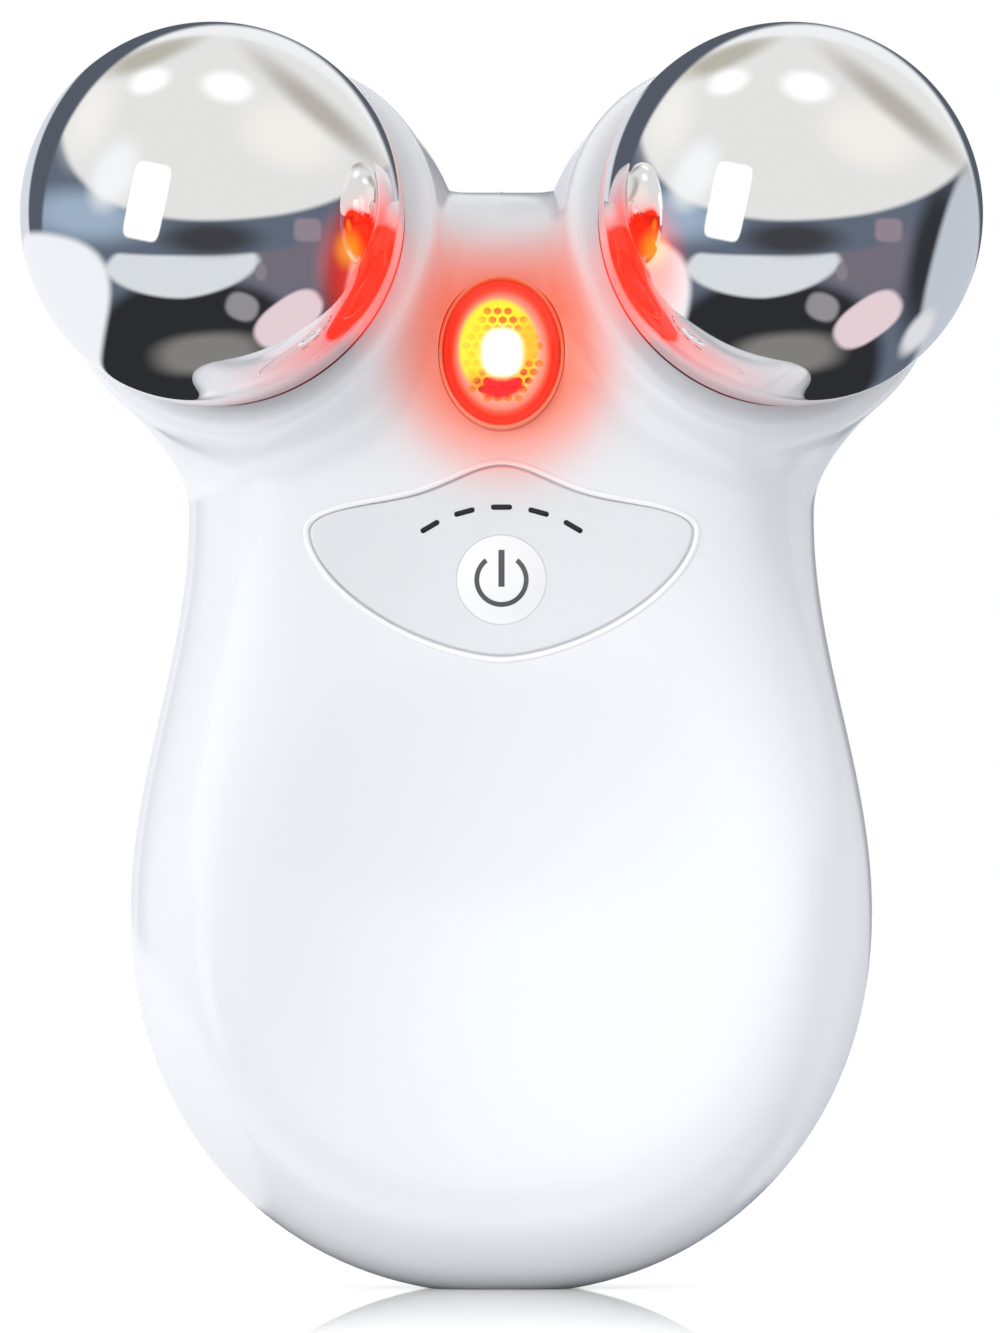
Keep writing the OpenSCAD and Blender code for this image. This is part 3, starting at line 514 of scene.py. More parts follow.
def make_handling():
    """Soft wiped patches where fingers rub: stretched noise, raised to leave only its crests."""
    tree, given, out = new_group("handling_wipe", {"Scale": 45, "Amount": 0.5}, ("Mask",))
    at = object_place(tree)
    stretched = link_node(tree, "ShaderNodeMapping", {"Vector": at, "Scale": (1.0, 1.0, 0.35)}).outputs[0]
    noise = link_node(tree, "ShaderNodeTexNoise",
                      {"Vector": stretched, "Scale": given.outputs["Scale"], "Detail": 3.0, "Distortion": 0.6})
    crest = smooth(tree, noise.outputs["Fac"], 0.52, 0.78)
    tree.links.new(sums(tree, "MULTIPLY", crest, given.outputs["Amount"]), out.inputs["Mask"])
    return tree


def spread_from(tree, at, centre, scale):
    """Elliptical distance of a place from a centre: the length of the offset, scaled along each axis."""
    offset = vectors(tree, "SUBTRACT", at, tuple(centre))
    return vectors(tree, "LENGTH", vectors(tree, "MULTIPLY", offset, tuple(scale)))


def make_glow(name, shape, steepness):
    """Painted red light on nearby surfaces, a mask for colour and emission: exp(-q^s), where q is the elliptic
    distance from the light, so with a high s it stays even close by and then drops fast. Walls turned away from
    the light take little of it."""
    tree, given, out = new_group(name, {"Power": 1.0}, ("Mask",))
    at = object_place(tree)
    q = spread_from(tree, at, (LIGHT_SEAT + GLOW_SHIFT) * MM, 1 / MM / shape)
    fall = sums(tree, "EXPONENT", sums(tree, "MULTIPLY", sums(tree, "POWER", q, steepness), -1.0))
    source = tuple((LIGHT_SEAT + LIGHT_STANDS_OUT * LIGHT_OUT) * MM)
    way = vectors(tree, "NORMALIZE", vectors(tree, "SUBTRACT", source, at))
    facing = vectors(tree, "DOT_PRODUCT", tree.nodes.new("ShaderNodeNewGeometry").outputs["Normal"], way)
    fall = sums(tree, "MULTIPLY", fall, smooth(tree, facing, -0.7, 0.5, 0.1, 1.0))
    tree.links.new(sums(tree, "MULTIPLY", fall, given.outputs["Power"], clamp=True), out.inputs["Mask"])
    return tree


def make_reflection_oval(name, middle, halves, soft):
    """Soft oval in |x| and z, so that it is on both balls: the painted red reflection where they face the light."""
    tree, given, out = new_group(name, {"Power": 1.0}, ("Mask",))
    one_side = vectors(tree, "ABSOLUTE", object_place(tree))
    q = spread_from(tree, one_side, (middle[0] * MM, 0.0, middle[1] * MM),
                    (1 / MM / halves[0], 0.0, 1 / MM / halves[1]))
    mask = sums(tree, "MULTIPLY", smooth(tree, q, 1 + soft, 1 - soft), given.outputs["Power"])
    tree.links.new(mask, out.inputs["Mask"])
    return tree


GLOW_SHAPE, GLOW_SHIFT = np.array([8.9, 9.5, 9.8]), np.array([0.15, 0, 0.15])
UNEVENNESS, HANDLING = make_unevenness(), make_handling()
GLOW, WIDE_GLOW = make_glow("red_glow", GLOW_SHAPE, 5.0), make_glow("red_glow_wide", 2.1 * GLOW_SHAPE, 2.0)
# Painted reflections of the red light on the balls: a red oval and its orange middle.
RED_REFLECTION_MASK = make_reflection_oval("ball_painted_red_reflection", (10.6, 80.0), (3.0, 4.6), 0.5)
LIGHT_REFLECTION_MASK = make_reflection_oval("painted_reflection_of_light", (11.9, 81.6), (0.85, 1.15), 0.8)
print("groups:", ", ".join(g.name for g in bpy.data.node_groups))


# %% [markdown]
# ## Finishes
#
# Each material names its own colour and gloss. Values that are the same all over sit on the shader's own
# sockets, and only what changes over the surface is linked. The housing is gloss white moulded plastic with a
# cool tint, a clear skin and faint waves, and takes a painted red glow of the light where it is near it.

# %% Build a finish
def rgb(r, g, b):
    """Linear colour from the 0 to 255 values of a screen colour."""
    c = np.array([r, g, b]) / 255
    return (*np.where(c <= 0.04045, c / 12.92, ((c + 0.055) / 1.055) ** 2.4).tolist(), 1.0)


def group_node(tree, group, values=None):
    """Places a shared group in a material with its own values."""
    node = link_node(tree, "ShaderNodeGroup", node_tree=group)
    for key, value in (values or {}).items():
        node.inputs[key].default_value = value
    return node


BLACK, WIPE_ROUGHNESS, WIDE_POWER, MIRROR_GAIN = (0, 0, 0, 1), 0.12, 0.9, 2.5
MIRROR_RED = rgb(255, 46, 26), (0.3, 0.01, 0.0, 1.0)


def new_material(name):
    """Empty material; gives it, its tree and its shader."""
    material = bpy.data.materials.new(name)
    material.use_nodes = True
    return material, material.node_tree, material.node_tree.nodes["Principled BSDF"]


def add_glow(tree, shader, tone, group, power, tint, light):
    """Paints the red light into the tone and the emission by a glow's mask, more and redder where a mirror sees it,
    which is a painted reflection.
    """
    mask = group_node(tree, group, {"Power": power}).outputs["Mask"]
    in_mirror = tree.nodes.new("ShaderNodeLightPath").outputs["Is Glossy Ray"]
    gain = sums(tree, "ADD", sums(tree, "MULTIPLY", in_mirror, MIRROR_GAIN), 1.0)
    mask = sums(tree, "MULTIPLY", mask, gain, clamp=True)
    if group is GLOW:
        wide = group_node(tree, WIDE_GLOW, {"Power": WIDE_POWER}).outputs["Mask"]
        mask = sums(tree, "MAXIMUM", mask, sums(tree, "MULTIPLY", wide, in_mirror))
    lit = blend_colour(tree, mask, BLACK, blend_colour(tree, in_mirror, light, MIRROR_RED[1]))
    tree.links.new(lit, shader.inputs["Emission Color"])
    shader.inputs["Emission Strength"].default_value = 1.0
    return blend_colour(tree, mask, tone, blend_colour(tree, in_mirror, tint, MIRROR_RED[0]))


def finish(name, colour, roughness, metallic=0.0, coat=0.0, wave=60, spread=0.04, bump=0.02, bump_depth=0.02,
           wipe=0.0, second=None, glow=None, sockets=None):
    """Principled material: even colour or two tones, gloss that varies, fine bump, and a glow where wanted."""
    material, tree, shader = new_material(name)
    for key, value in {"Base Color": colour, "Metallic": metallic, "Coat Weight": coat, **(sockets or {})}.items():
        shader.inputs[key].default_value = value
    uneven = group_node(tree, UNEVENNESS, {"Wave Scale": wave, "Spread": spread})
    rough = sums(tree, "ADD", uneven.outputs["Roughness Change"], roughness)
    tone = colour
    if wipe:
        rubbed = group_node(tree, HANDLING, {"Amount": wipe}).outputs["Mask"]
        rough = sums(tree, "ADD", rough, sums(tree, "MULTIPLY", rubbed, WIPE_ROUGHNESS))
    if second:
        tone = blend_colour(tree, smooth(tree, uneven.outputs["Height"], 0.45, 0.75), colour, second)
    if glow:
        tone = add_glow(tree, shader, tone, *glow)
    if tone is not colour:
        tree.links.new(tone, shader.inputs["Base Color"])
    tree.links.new(rough, shader.inputs["Roughness"])
    if bump:
        raised = link_node(tree, "ShaderNodeBump", {"Strength": bump, "Distance": bump_depth * MM,
                                                    "Height": uneven.outputs["Height"]})
        tree.links.new(raised.outputs[0], shader.inputs["Normal"])
    return material


# %% The finishes by name
# The red glow is painted light: its mask turns the base colour and the emission red near the light.
RED_GLOW = (GLOW, 0.88, rgb(250, 108, 40), (0.18, 0.0, 0.0, 1.0))
# The chrome's red tint and red emission are a painted reflection of the light, not a lamp.
PAINTED_RED_REFLECTION = (RED_REFLECTION_MASK, 0.85, (0.95, 0.45, 0.4, 1.0), (0.8, 0.03, 0.015, 1.0))
FINISHES = {
    "housing": finish("gloss_white_moulding", rgb(238, 241, 246), 0.16, coat=0.35, wave=28, spread=0.05,
                      bump=0.05, bump_depth=0.03, wipe=0.25, glow=RED_GLOW,
                      sockets={"Coat Roughness": 0.05, "IOR": 1.5}),
    # The lip's finish is whiter than the housing's: a painted highlight along the bead.
    "lip": finish("lip_with_painted_highlight", rgb(250, 252, 255), 0.14, coat=0.4, glow=RED_GLOW),
    "panel": finish("satin_grey_panel", rgb(229, 233, 237), 0.26, wave=45, spread=0.05, bump=0.04,
                    glow=RED_GLOW, sockets={"IOR": 1.49}),
    "button": finish("gloss_white_cap", rgb(249, 250, 253), 0.18, coat=0.3, wave=90, wipe=0.3, bump=0.03),
    # The rim is pale; its salmon tone is painted red light of the lens, and its glow mask adds more.
    "bezel": finish("rim_in_painted_red_light", rgb(252, 178, 158), 0.2, coat=0.4, wave=200, bump=0.03, glow=RED_GLOW),
    "chrome_plate": finish("bright_chrome_plating", (0.92, 0.925, 0.93, 1.0), 0.022, metallic=1.0, wave=70,
                           spread=0.012, bump=0.012, bump_depth=0.01, glow=PAINTED_RED_REFLECTION),
    "clear_guide": finish("clear_light_guide", rgb(226, 238, 244), 0.12, wave=200,
                          sockets={"Transmission Weight": 0.8, "IOR": 1.49})}
# Slot, name, both colours, roughness, scale of the waves, and what else differs from a plain finish.
TWO_TONES = [
    ("symbol", "grey_print", (84, 84, 87), (94, 94, 97), 0.42, 300, {"spread": 0.1, "bump": 0.1}),
    ("dark_window", "smoked_window", (14, 19, 26), (22, 28, 36), 0.16, 400, {}),
    ("brass", "turned_brass", (206, 168, 96), (186, 146, 78), 0.3, 400, {"metallic": 1.0}),
    ("gasket", "black_rubber", (32, 32, 34), (44, 44, 47), 0.62, 500, {"bump": 0.25}),
    ("steel", "nickel_steel", (186, 188, 192), (168, 170, 176), 0.24, 350, {"metallic": 1.0, "spread": 0.1}),
    ("black_wire", "black_insulation", (26, 26, 28), (38, 38, 40), 0.5, 600, {}),
    ("red_wire", "red_insulation", (190, 36, 30), (168, 28, 24), 0.5, 600, {}),
    ("board", "green_solder_mask", (30, 92, 58), (38, 106, 66), 0.34, 260, {"coat": 0.3, "bump": 0.15}),
    ("emitter", "phosphor", (244, 236, 205), (236, 222, 170), 0.4, 500, {}),
    ("tape", "adhesive_film", (232, 230, 216), (222, 220, 204), 0.55, 300, {}),
    ("black_plastic", "matt_black_moulding", (28, 29, 31), (38, 39, 42), 0.5, 500, {"bump": 0.2}),
    ("stem", "natural_nylon", (214, 206, 188), (202, 192, 170), 0.45, 500, {}),
    ("battery_foil", "foil_pouch", (200, 204, 210), (184, 188, 196), 0.32, 160,
     {"metallic": 0.9, "spread": 0.2, "bump": 0.4, "bump_depth": 0.2})]
for slot, name, first, second, roughness, wave, more in TWO_TONES:
    FINISHES[slot] = finish(name, rgb(*first), roughness, wave=wave, second=rgb(*second), **more)


def add_painted_light_reflection(material):
    """Painted orange reflection of the light in the middle of the painted red reflection."""
    tree = material.node_tree
    glow = tree.nodes["Principled BSDF"].inputs["Emission Color"]
    heart = group_node(tree, LIGHT_REFLECTION_MASK).outputs["Mask"]
    tree.links.new(blend_colour(tree, heart, glow.links[0].from_socket, (1.0, 0.3, 0.02, 1.0)), glow)


add_painted_light_reflection(FINISHES["chrome_plate"])
print(len(FINISHES), "finishes")


# %% Paint a piece and put it in the frame
CREASE = math.radians(32)
print("edges sharper than", round(math.degrees(CREASE)), "degrees stay crisp")


def paint(piece, look):
    """Gives a piece or a construction node one finish."""
    piece.data.materials.clear()
    piece.data.materials.append(FINISHES[look])


def finish_piece(piece, slot, look=None, body="housing", replaces=()):
    """Smooth shading with crisp edges, the finish of its slot or another look, and its place in the frame."""
    paint(piece, look or slot)
    piece.data.shade_smooth()
    piece.data.set_sharp_from_angle(angle=CREASE)
    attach(piece, body)
    if replaces:
        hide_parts(*replaces)
    print(f"{piece.name}: {len(piece.data.polygons)} faces")
    return piece


# %% [markdown]
# ## Carving the two shells
#
# The real housing is two mouldings. The outer skin is a solid here, the same fan a wall thickness further in is
# its hollow, and a surface that runs low along the grip and climbs behind the cups parts the two. Real halves
# interlock, so the back one has a lip that reaches behind the seam and keeps the light out. The cups, the
# light's opening, the panel's pocket and the charging slot are cut by solids of revolution and prisms.
# Boolean modifiers do the cutting and are applied at once, so that only plain meshes are left.

# %% Boolean helper
def carve(piece, *steps):
    """Applies (operation, cutter) pairs to a piece and removes the cutters."""
    for operation, cutter in steps:
        cut = piece.modifiers.new("cut", "BOOLEAN")
        cut.operation, cut.solver, cut.object = operation, "MANIFOLD", cutter
        depsgraph = bpy.context.evaluated_depsgraph_get()
        result = bpy.data.meshes.new_from_object(piece.evaluated_get(depsgraph))
        piece.modifiers.clear()
        piece.data = result
        bpy.data.objects.remove(cutter)
    return piece


# %% [markdown]
# ## Finer where it bends
#
# Gloss shows every facet. A denser grid everywhere would be heavy, so only edges over which the surface turns
# are split, and their new points are moved onto the true surface. After the cuts, the faces that lie on the
# skin take the field's own normals, because the thin triangles that a cut leaves would ripple in the gloss.

# %% Split and settle
def mesh_points(mesh):
    """Vertices of a mesh as an array in millimetres."""
    co = np.empty(len(mesh.vertices) * 3)
    mesh.vertices.foreach_get("co", co)
    return co.reshape(-1, 3) / MM


STEEP = 3.0


def settle(p, rounds=4):
    """Newton steps onto the surface: p moves by -f g / |g|^2 each time, at most 0.2 mm. On the flat saddle, where
    the field jumps and its gradient says little, the points already lie right and stay."""
    for _ in range(rounds):
        g = gradient(p)
        square = (g * g).sum(-1)
        move = -(field(p) / np.maximum(square, 0.01))[:, None] * g * (square < STEEP**2)[:, None]
        far = np.linalg.norm(move, axis=-1, keepdims=True)
        p = p + move * np.minimum(1, 0.2 / np.maximum(far, 1e-9))
    return p


def refine(piece, turn, shortest, levels):
    """Splits edges between whose ends the field's normal turns by more than an angle, and settles the new points."""
    for _ in range(levels):
        shape = bmesh.new()
        shape.from_mesh(piece.data)
        co = mesh_points(piece.data)
        ends = np.array([[v.index for v in e.verts] for e in shape.edges])
        away = slope(co)
        bend = np.degrees(np.arccos(np.clip((away[ends[:, 0]] * away[ends[:, 1]]).sum(-1), -1, 1)))
        length = np.linalg.norm(co[ends[:, 0]] - co[ends[:, 1]], axis=-1)
        calm = (np.linalg.norm(gradient(co), axis=-1) < STEEP)[ends].all(-1)
        shape.edges.ensure_lookup_table()
        chosen = [shape.edges[i] for i in np.flatnonzero((bend > turn) & (length > shortest) & calm)]
        bmesh.ops.subdivide_edges(shape, edges=chosen, cuts=1, use_grid_fill=True)
        bmesh.ops.triangulate(shape, faces=[f for f in shape.faces if len(f.verts) > 3])
        shape.to_mesh(piece.data)
        shape.free()
        piece.data.vertices.foreach_set("co", (settle(mesh_points(piece.data)) * MM).ravel())
    piece.data.update()
    print(f"{piece.name}: {len(piece.data.polygons)} faces after {levels} rounds of splitting")
    return piece


# %% Cutters
PART_LOW, PART_HIGH, PART_Z0, PART_Z1, SEAM = 1.0, 5.6, 60.0, 78.0, 0.15
LENS_A, LENS_B, LIP, SLACK = 4.65, 5.9, 0.28, 0.05
PANEL_GAP, PANEL_T = 0.16, 0.75
print("the seam is", SEAM, "mm wide and climbs from y =", PART_LOW, "to", PART_HIGH)
USB = {"w": 9.44, "h": 3.76, "y": (corners("usb_socket")[0][1] + corners("usb_socket")[1][1]) / 2}


def front_half(gap):
    """Everything in front of the parting surface: y = 1 below the neck, easing to 5.6 behind the cups."""
    z = np.linspace(PART_Z0, PART_Z1, 41)
    seam = ease(PART_LOW, PART_HIGH, (z - PART_Z0) / (PART_Z1 - PART_Z0)) + gap
    outline = [(-40, -5), (PART_LOW + gap, -5), *zip(seam, z), (PART_HIGH + gap, 110), (-40, 110)]
    return prism("parting", np.array(outline), lambda p: np.asarray(p)[:, [2, 0, 1]], -50, 50)


def bowls(operation, r):
    """Steps that join or cut a solid ball round each electrode, for the bowls behind the balls."""
    return [(operation, turned("bowl", arc(r, -90, 90, 60), BALL_PLACES[side])) for side in BALL_PLACES]


def floor_cut():
    """Step that cuts off everything below the foot's plane, z = 0."""
    return "DIFFERENCE", prism("floor_cut", slab(80, 80, 1), lambda p: p, -5, 0)


def bowl_cutter(side):
    """The hollow of a cup: a gap larger than the ball, closing to the lip's small gap over its last millimetres."""
    lip = math.asin(-CUP_RIM / (BALL_R + LIP_GAP))
    a = np.linspace(-math.pi / 2, lip, 60)
    r = BALL_R + ease(BALL_GAP, LIP_GAP, 1 - (lip - a) / LIP_CLOSING)
    edge = (BALL_R + LIP_GAP) * math.cos(lip) + LIP_ROUND
    profile = [(0, -BALL_R - BALL_GAP), *np.column_stack([r * np.cos(a), r * np.sin(a)])[1:],
               (edge, LIP_ROUND - CUP_RIM), (0, LIP_ROUND - CUP_RIM)]
    return turned("bowl_cutter", profile, BALL_PLACES[side], 192)


# %% The skin, once outside and once inside
OUTER_GRID, TONGUE_GRID, INNER_GRID = (150, 132), (90, 66), (60, 44)
BOWL_R = BALL_R + BALL_GAP + CUP_WALL


def skin_solid(name, rows, turns, t):
    """Closed mesh of one skin."""
    return make_mesh(name, *spindle(skin(rows, turns, t)))


outer = refine(skin_solid("outer", *OUTER_GRID, 0.0), turn=7.0, shortest=0.12, levels=3)


def shell(name, keep, seam, cutters):
    """One half of the housing: skin, less its hollow, on one side of the parting surface. The bowls behind the
    balls belong to the front half."""
    piece = add_object(name, outer.data.copy())
    parting = carve(front_half(seam), *bowls("UNION", BOWL_R + max(seam, 0)))
    hollow = carve(skin_solid("hollow", *INNER_GRID, WALL), *bowls("DIFFERENCE", BOWL_R))
    return carve(piece, ("DIFFERENCE", hollow), (keep, parting), *cutters)


TONGUE = {"from": 0.6, "to": 1.5, "reach": 0.5}


def tongue():
    """Lip along the back half's parting edge: the ring between two depths under the skin, from the front half's edge
    to a little way into the back half. It closes the seam to light, as the interlocking edges of real housings do."""
    ring = skin_solid("tongue", *TONGUE_GRID, TONGUE["from"])
    return carve(ring, ("DIFFERENCE", skin_solid("tongue_hollow", *INNER_GRID, TONGUE["to"])),
                 ("INTERSECT", front_half(SEAM / 2 + TONGUE["reach"])), ("DIFFERENCE", front_half(-SEAM / 2)),
                 *bowls("DIFFERENCE", BOWL_R + SEAM / 2), floor_cut())


def true_normals(piece, tolerance=0.05):
    """Gives faces that lie on the skin the field's own normals, so that cuts leave no ripples in the gloss."""
    mesh = piece.data
    co = mesh_points(mesh)
    corner = np.empty(len(mesh.loops), np.int32)
    mesh.loops.foreach_get("vertex_index", corner)
    normals = np.empty(len(mesh.loops) * 3)
    mesh.corner_normals.foreach_get("vector", normals)
    normals = normals.reshape(-1, 3)
    sizes = np.empty(len(mesh.polygons), np.int32)
    mesh.polygons.foreach_get("loop_total", sizes)
    flat = np.empty(len(mesh.polygons) * 3)
    mesh.polygons.foreach_get("normal", flat)
    owner = np.repeat(np.arange(len(sizes)), sizes)
    away, on_skin = slope(co), np.abs(field(co)) < tolerance
    facing = (away[corner] * flat.reshape(-1, 3)[owner]).sum(-1) > 0.8
    good = np.minimum.reduceat((on_skin[corner] & facing).astype(np.int8), np.r_[0, np.cumsum(sizes)[:-1]])
    chosen = np.where(good[owner, None] > 0, away[corner], normals)
    mesh.normals_split_custom_set(chosen.tolist())
    print(f"{piece.name}: {int(good.sum())} of {len(sizes)} faces take the field's normals")


# %% Cut and finish the shells
front_cuts = [("DIFFERENCE", bowl_cutter(side)) for side in BALL_PLACES] + [
    ("DIFFERENCE", prism("pocket", panel_outline(PANEL_GAP), at_front, PANEL_FACE - PANEL_T, FACE_Y + 2)),
    ("DIFFERENCE", prism("light_hole", ellipse(LENS_A + LIP + SLACK, LENS_B + LIP + SLACK), at_light, -8, 4)),
    floor_cut()]
front = shell("housing_front", "INTERSECT", -SEAM / 2, front_cuts)
usb_outline = slab(USB["w"], USB["h"], 1.85) + [0, USB["y"]]
back_cuts = [("UNION", tongue()), ("DIFFERENCE", prism("usb_slot", usb_outline, lambda p: p, -2, 12)), floor_cut()]
back = shell("housing_back", "DIFFERENCE", SEAM / 2, back_cuts)
finish_piece(front, "housing", replaces=["front_shell"])
finish_piece(back, "housing", replaces=["back_shell"])
true_normals(front)
true_normals(back)
bpy.data.objects.remove(outer)


# %% [markdown]
# ## The plated balls
#
# Each electrode is a hollow ball: an outer sphere, a wall, and the bore of its insert at the bottom of the
# cup. Carried round the ball's own axis as one closed profile it is truly round, where a plain sphere
# primitive would have no wall and no bore.

# %% Turn the balls
BALL_WALL, BORE_R, BOSS_R, BOSS_TOP = 1.2, 2.15, 3.7, -7.5


def ball_profile():
    """Outer arc from the bore to the front pole, then back along the wall to the boss round the bore."""
    outer_start = -90 + math.degrees(math.asin(BORE_R / BALL_R))
    inner_r = BALL_R - BALL_WALL
    inner_start = -90 + math.degrees(math.asin(BOSS_R / inner_r))
    inner = [*arc(inner_r, 90, inner_start, 60), (BOSS_R, BOSS_TOP), (BORE_R, BOSS_TOP)]
    return [*arc(BALL_R, outer_start, 90, 160)], inner


def ball_mesh(name, place, segments=256):
    """The outer and the inner surface share a seam at the bore; each has its own pole in front."""
    outer, inner = ball_profile()
    ring = revolve(outer[:-1], place, segments)
    hollow = revolve(inner[1:], place, segments)
    rows, m, k = segments, len(outer) - 1, len(inner) - 1
    points = np.concatenate([ring.reshape(-1, 3), hollow.reshape(-1, 3), place([[0, 0, BALL_R]]),
                             place([[0, 0, BALL_R - BALL_WALL]])])
    start, pole = rows * m, rows * (m + k)
    i = np.arange(rows)
    j = (i + 1) % rows
    faces = [*quads(rows, m, wrap_rows=True).tolist(), *(quads(rows, k, wrap_rows=True) + start).tolist()]
    faces += np.stack([i * m + m - 1, j * m + m - 1, np.full(rows, pole)], -1).tolist()
    faces += np.stack([start + i * k, np.full(rows, pole + 1), start + j * k], -1).tolist()
    faces += np.stack([start + i * k + k - 1, start + j * k + k - 1, j * m, i * m], -1).tolist()
    return make_mesh(name, points, faces)


for side, place in BALL_PLACES.items():
    ball = ball_mesh(f"plated_ball_{side}", place)
    finish_piece(ball, "chrome_plate", replaces=[f"sphere_{side}"])


# %% [markdown]
# ## The red light
#
# Under a clear dome lies a bowl that reflects the emitter's light, and at its bottom a plate with rows of
# six-sided cells. The rings of colour come from the bowl: deep red at the rim, a pink band, then yellow, with a
# white-hot spot over the emitter. The colours follow the elliptical distance from the middle, as seen from
# the front, so that the bowl, the plate and the cells' floor, which lie at different depths, line up.

# %% Bezel and dome
RIM_TOP, RIM_FOOT, RIM_ROUND = 0.32, -2.2, 0.11
bezel_profile = [(LENS_A, RIM_FOOT), (LENS_A, RIM_TOP - 0.12), (LENS_A + 0.06, RIM_TOP),
                 *arc(RIM_ROUND, 90, 0, 5, (LENS_A + LIP - RIM_ROUND, RIM_TOP - RIM_ROUND)),
                 (LENS_A + LIP, RIM_FOOT)]


def elliptical(name, rows, place, segments=160, poles=False):
    """Revolve whose rows are (inset from the lens's edge, height): x = (a - inset) cos, y = (b - inset) sin."""
    rows = np.asarray(rows, float)
    a = np.linspace(0, 2 * np.pi, segments, endpoint=False)[:, None]
    share = np.clip(rows[:, 0], None, LENS_A)
    x = (LENS_A - share) * np.cos(a)
    y = np.maximum(LENS_B - share * np.where(rows[:, 0] > 0, LENS_B / LENS_A, 1.0), 0) * np.sin(a)
    grid = place(np.stack([x, y, rows[:, 1] + 0 * a], -1))
    if poles:
        return make_mesh(name, *spindle(grid))
    return make_mesh(name, grid, quads(segments, len(rows), True, True))


bezel = elliptical("light_rim", [(LENS_A - r, h) for r, h in bezel_profile], at_light)
finish_piece(bezel, "bezel", replaces=["light_bezel"])

LENS_RISE, LENS_T, LENS_SKIRT = 0.95, 0.55, -0.5


def dome_rows(shares, drop):
    """Rows of a dome: at a share of the way out, its height is the rise times (1 - share^2), less a drop."""
    return [(LENS_A - (LENS_A - SLACK) * q, LENS_RISE * (1 - q**2) - drop) for q in shares]


lens_rows = [(LENS_A, LENS_RISE), *dome_rows(np.linspace(0.05, 1, 24), 0.0), (SLACK, LENS_SKIRT), (0.5, LENS_SKIRT),
             *dome_rows(np.linspace(0.86, 0.05, 16), LENS_T), (LENS_A, LENS_RISE - LENS_T)]
lens = elliptical("lens_dome", lens_rows, at_light, poles=True)
print("lens volume", round(volume(lens.data) / MM**3, 2), "mm3")


# %% Colours of the lit bowl
def seen_on_lens(tree):
    """Object coordinates in millimetres from the middle of the light, looked at from the front, so that the
    pattern keeps its place on the lens whatever the depth of the surface that carries it."""
    moved = vectors(tree, "SUBTRACT", object_place(tree), tuple(LIGHT_SEAT * MM))
    scaled = vectors(tree, "MULTIPLY", moved, (1 / MM,) * 3)
    return link_node(tree, "ShaderNodeSeparateXYZ", {0: scaled}).outputs


def oval_distance(tree, u, v, centre, halves, power=2.0):
    """Superelliptic distance: (|du/a|^p + |dv/b|^p)^(1/p), which is 1 on the outline."""
    parts = []
    for value, middle, half in zip((u, v), centre, halves):
        part = sums(tree, "ABSOLUTE", sums(tree, "DIVIDE", sums(tree, "SUBTRACT", value, middle), half))
        parts.append(sums(tree, "POWER", part, power))
    return sums(tree, "POWER", sums(tree, "ADD", *parts), 1 / power)


CORE_MIDDLE, RING_START, DIMMED = (-0.22, 0.25), (0.61, 0.71), 0.9
DEEP_RED, PINK, MIRRORED_LENS = rgb(247, 44, 14), rgb(255, 142, 122), rgb(255, 40, 14)
YELLOW, WARM_YELLOW, HOT = rgb(255, 250, 40), rgb(250, 206, 36), (1.4, 1.38, 1.3, 1.0)


def lit_material(name, middle, spots, stops):
    """Emission of a lit surface, painted light of the emitter: the middle's colour, soft oval spots over it, and
    outside a share of the lens the rings of colour, by the elliptical distance from the middle. Mirrors see it deep
    red instead, a painted reflection."""
    material, tree, shader = new_material(name)
    u, _, v = seen_on_lens(tree)
    distance = oval_distance(tree, u, v, (0, 0), (LENS_A, LENS_B))
    colour = middle
    for centre, halves, power, soft, tint in spots:
        spot = smooth(tree, oval_distance(tree, u, v, centre, halves, power), 1 + soft, 1 - soft)
        colour = blend_colour(tree, spot, colour, tint)
    ramp = link_node(tree, "ShaderNodeValToRGB", {"Fac": distance})
    while len(ramp.color_ramp.elements) < len(stops):
        ramp.color_ramp.elements.new(0.5)
    for element, (place, tint) in zip(ramp.color_ramp.elements, stops):
        element.position, element.color = place, tint
    core = oval_distance(tree, u, v, CORE_MIDDLE, (LENS_A, LENS_B))
    colour = blend_colour(tree, smooth(tree, core, *RING_START), colour, ramp.outputs["Color"])
    # Painted reflection: seen in a mirror, a lit surface shows deep red.
    mirrored = smooth(tree, tree.nodes.new("ShaderNodeLightPath").outputs["Glossy Depth"], 0.4, 0.6)
    colour = blend_colour(tree, mirrored, colour, MIRRORED_LENS)
    tree.links.new(colour, shader.inputs["Emission Color"])
    tree.links.new(blend_colour(tree, DIMMED, colour, BLACK), shader.inputs["Base Color"])
    shader.inputs["Emission Strength"].default_value = 1.0
    shader.inputs["Roughness"].default_value = 0.35
    return material


RINGS = [(0.6, rgb(254, 196, 140)), (0.67, rgb(255, 166, 140)), (0.74, PINK), (0.81, rgb(255, 92, 64)),
         (0.87, DEEP_RED), (0.94, DEEP_RED), (0.99, rgb(178, 24, 8))]
WARM_SIDE = ((2.6, -0.9), (2.3, 3.4), 2.0, 0.5, WARM_YELLOW)
WARM_FOOT = ((-1.5, -3.2), (1.7, 1.5), 2.0, 0.5, rgb(250, 160, 30))
RED_PATCH = ((0.12, -3.0), (1.6, 1.15), 3.2, 0.12, rgb(250, 4, 18))
WHITE_HOT = [((0.05, 0.0), (1.78, 2.05), 2.2, 0.16, rgb(255, 250, 165)), ((0.05, 0.0), (1.5, 1.78), 2.6, 0.16, HOT)]
FINISHES["lit_bowl"] = lit_material("lit_bowl", YELLOW, [WARM_SIDE, WARM_FOOT], RINGS)
FINISHES["honeycomb"] = lit_material("lit_comb", YELLOW, [WARM_SIDE, WARM_FOOT, RED_PATCH, *WHITE_HOT], RINGS)
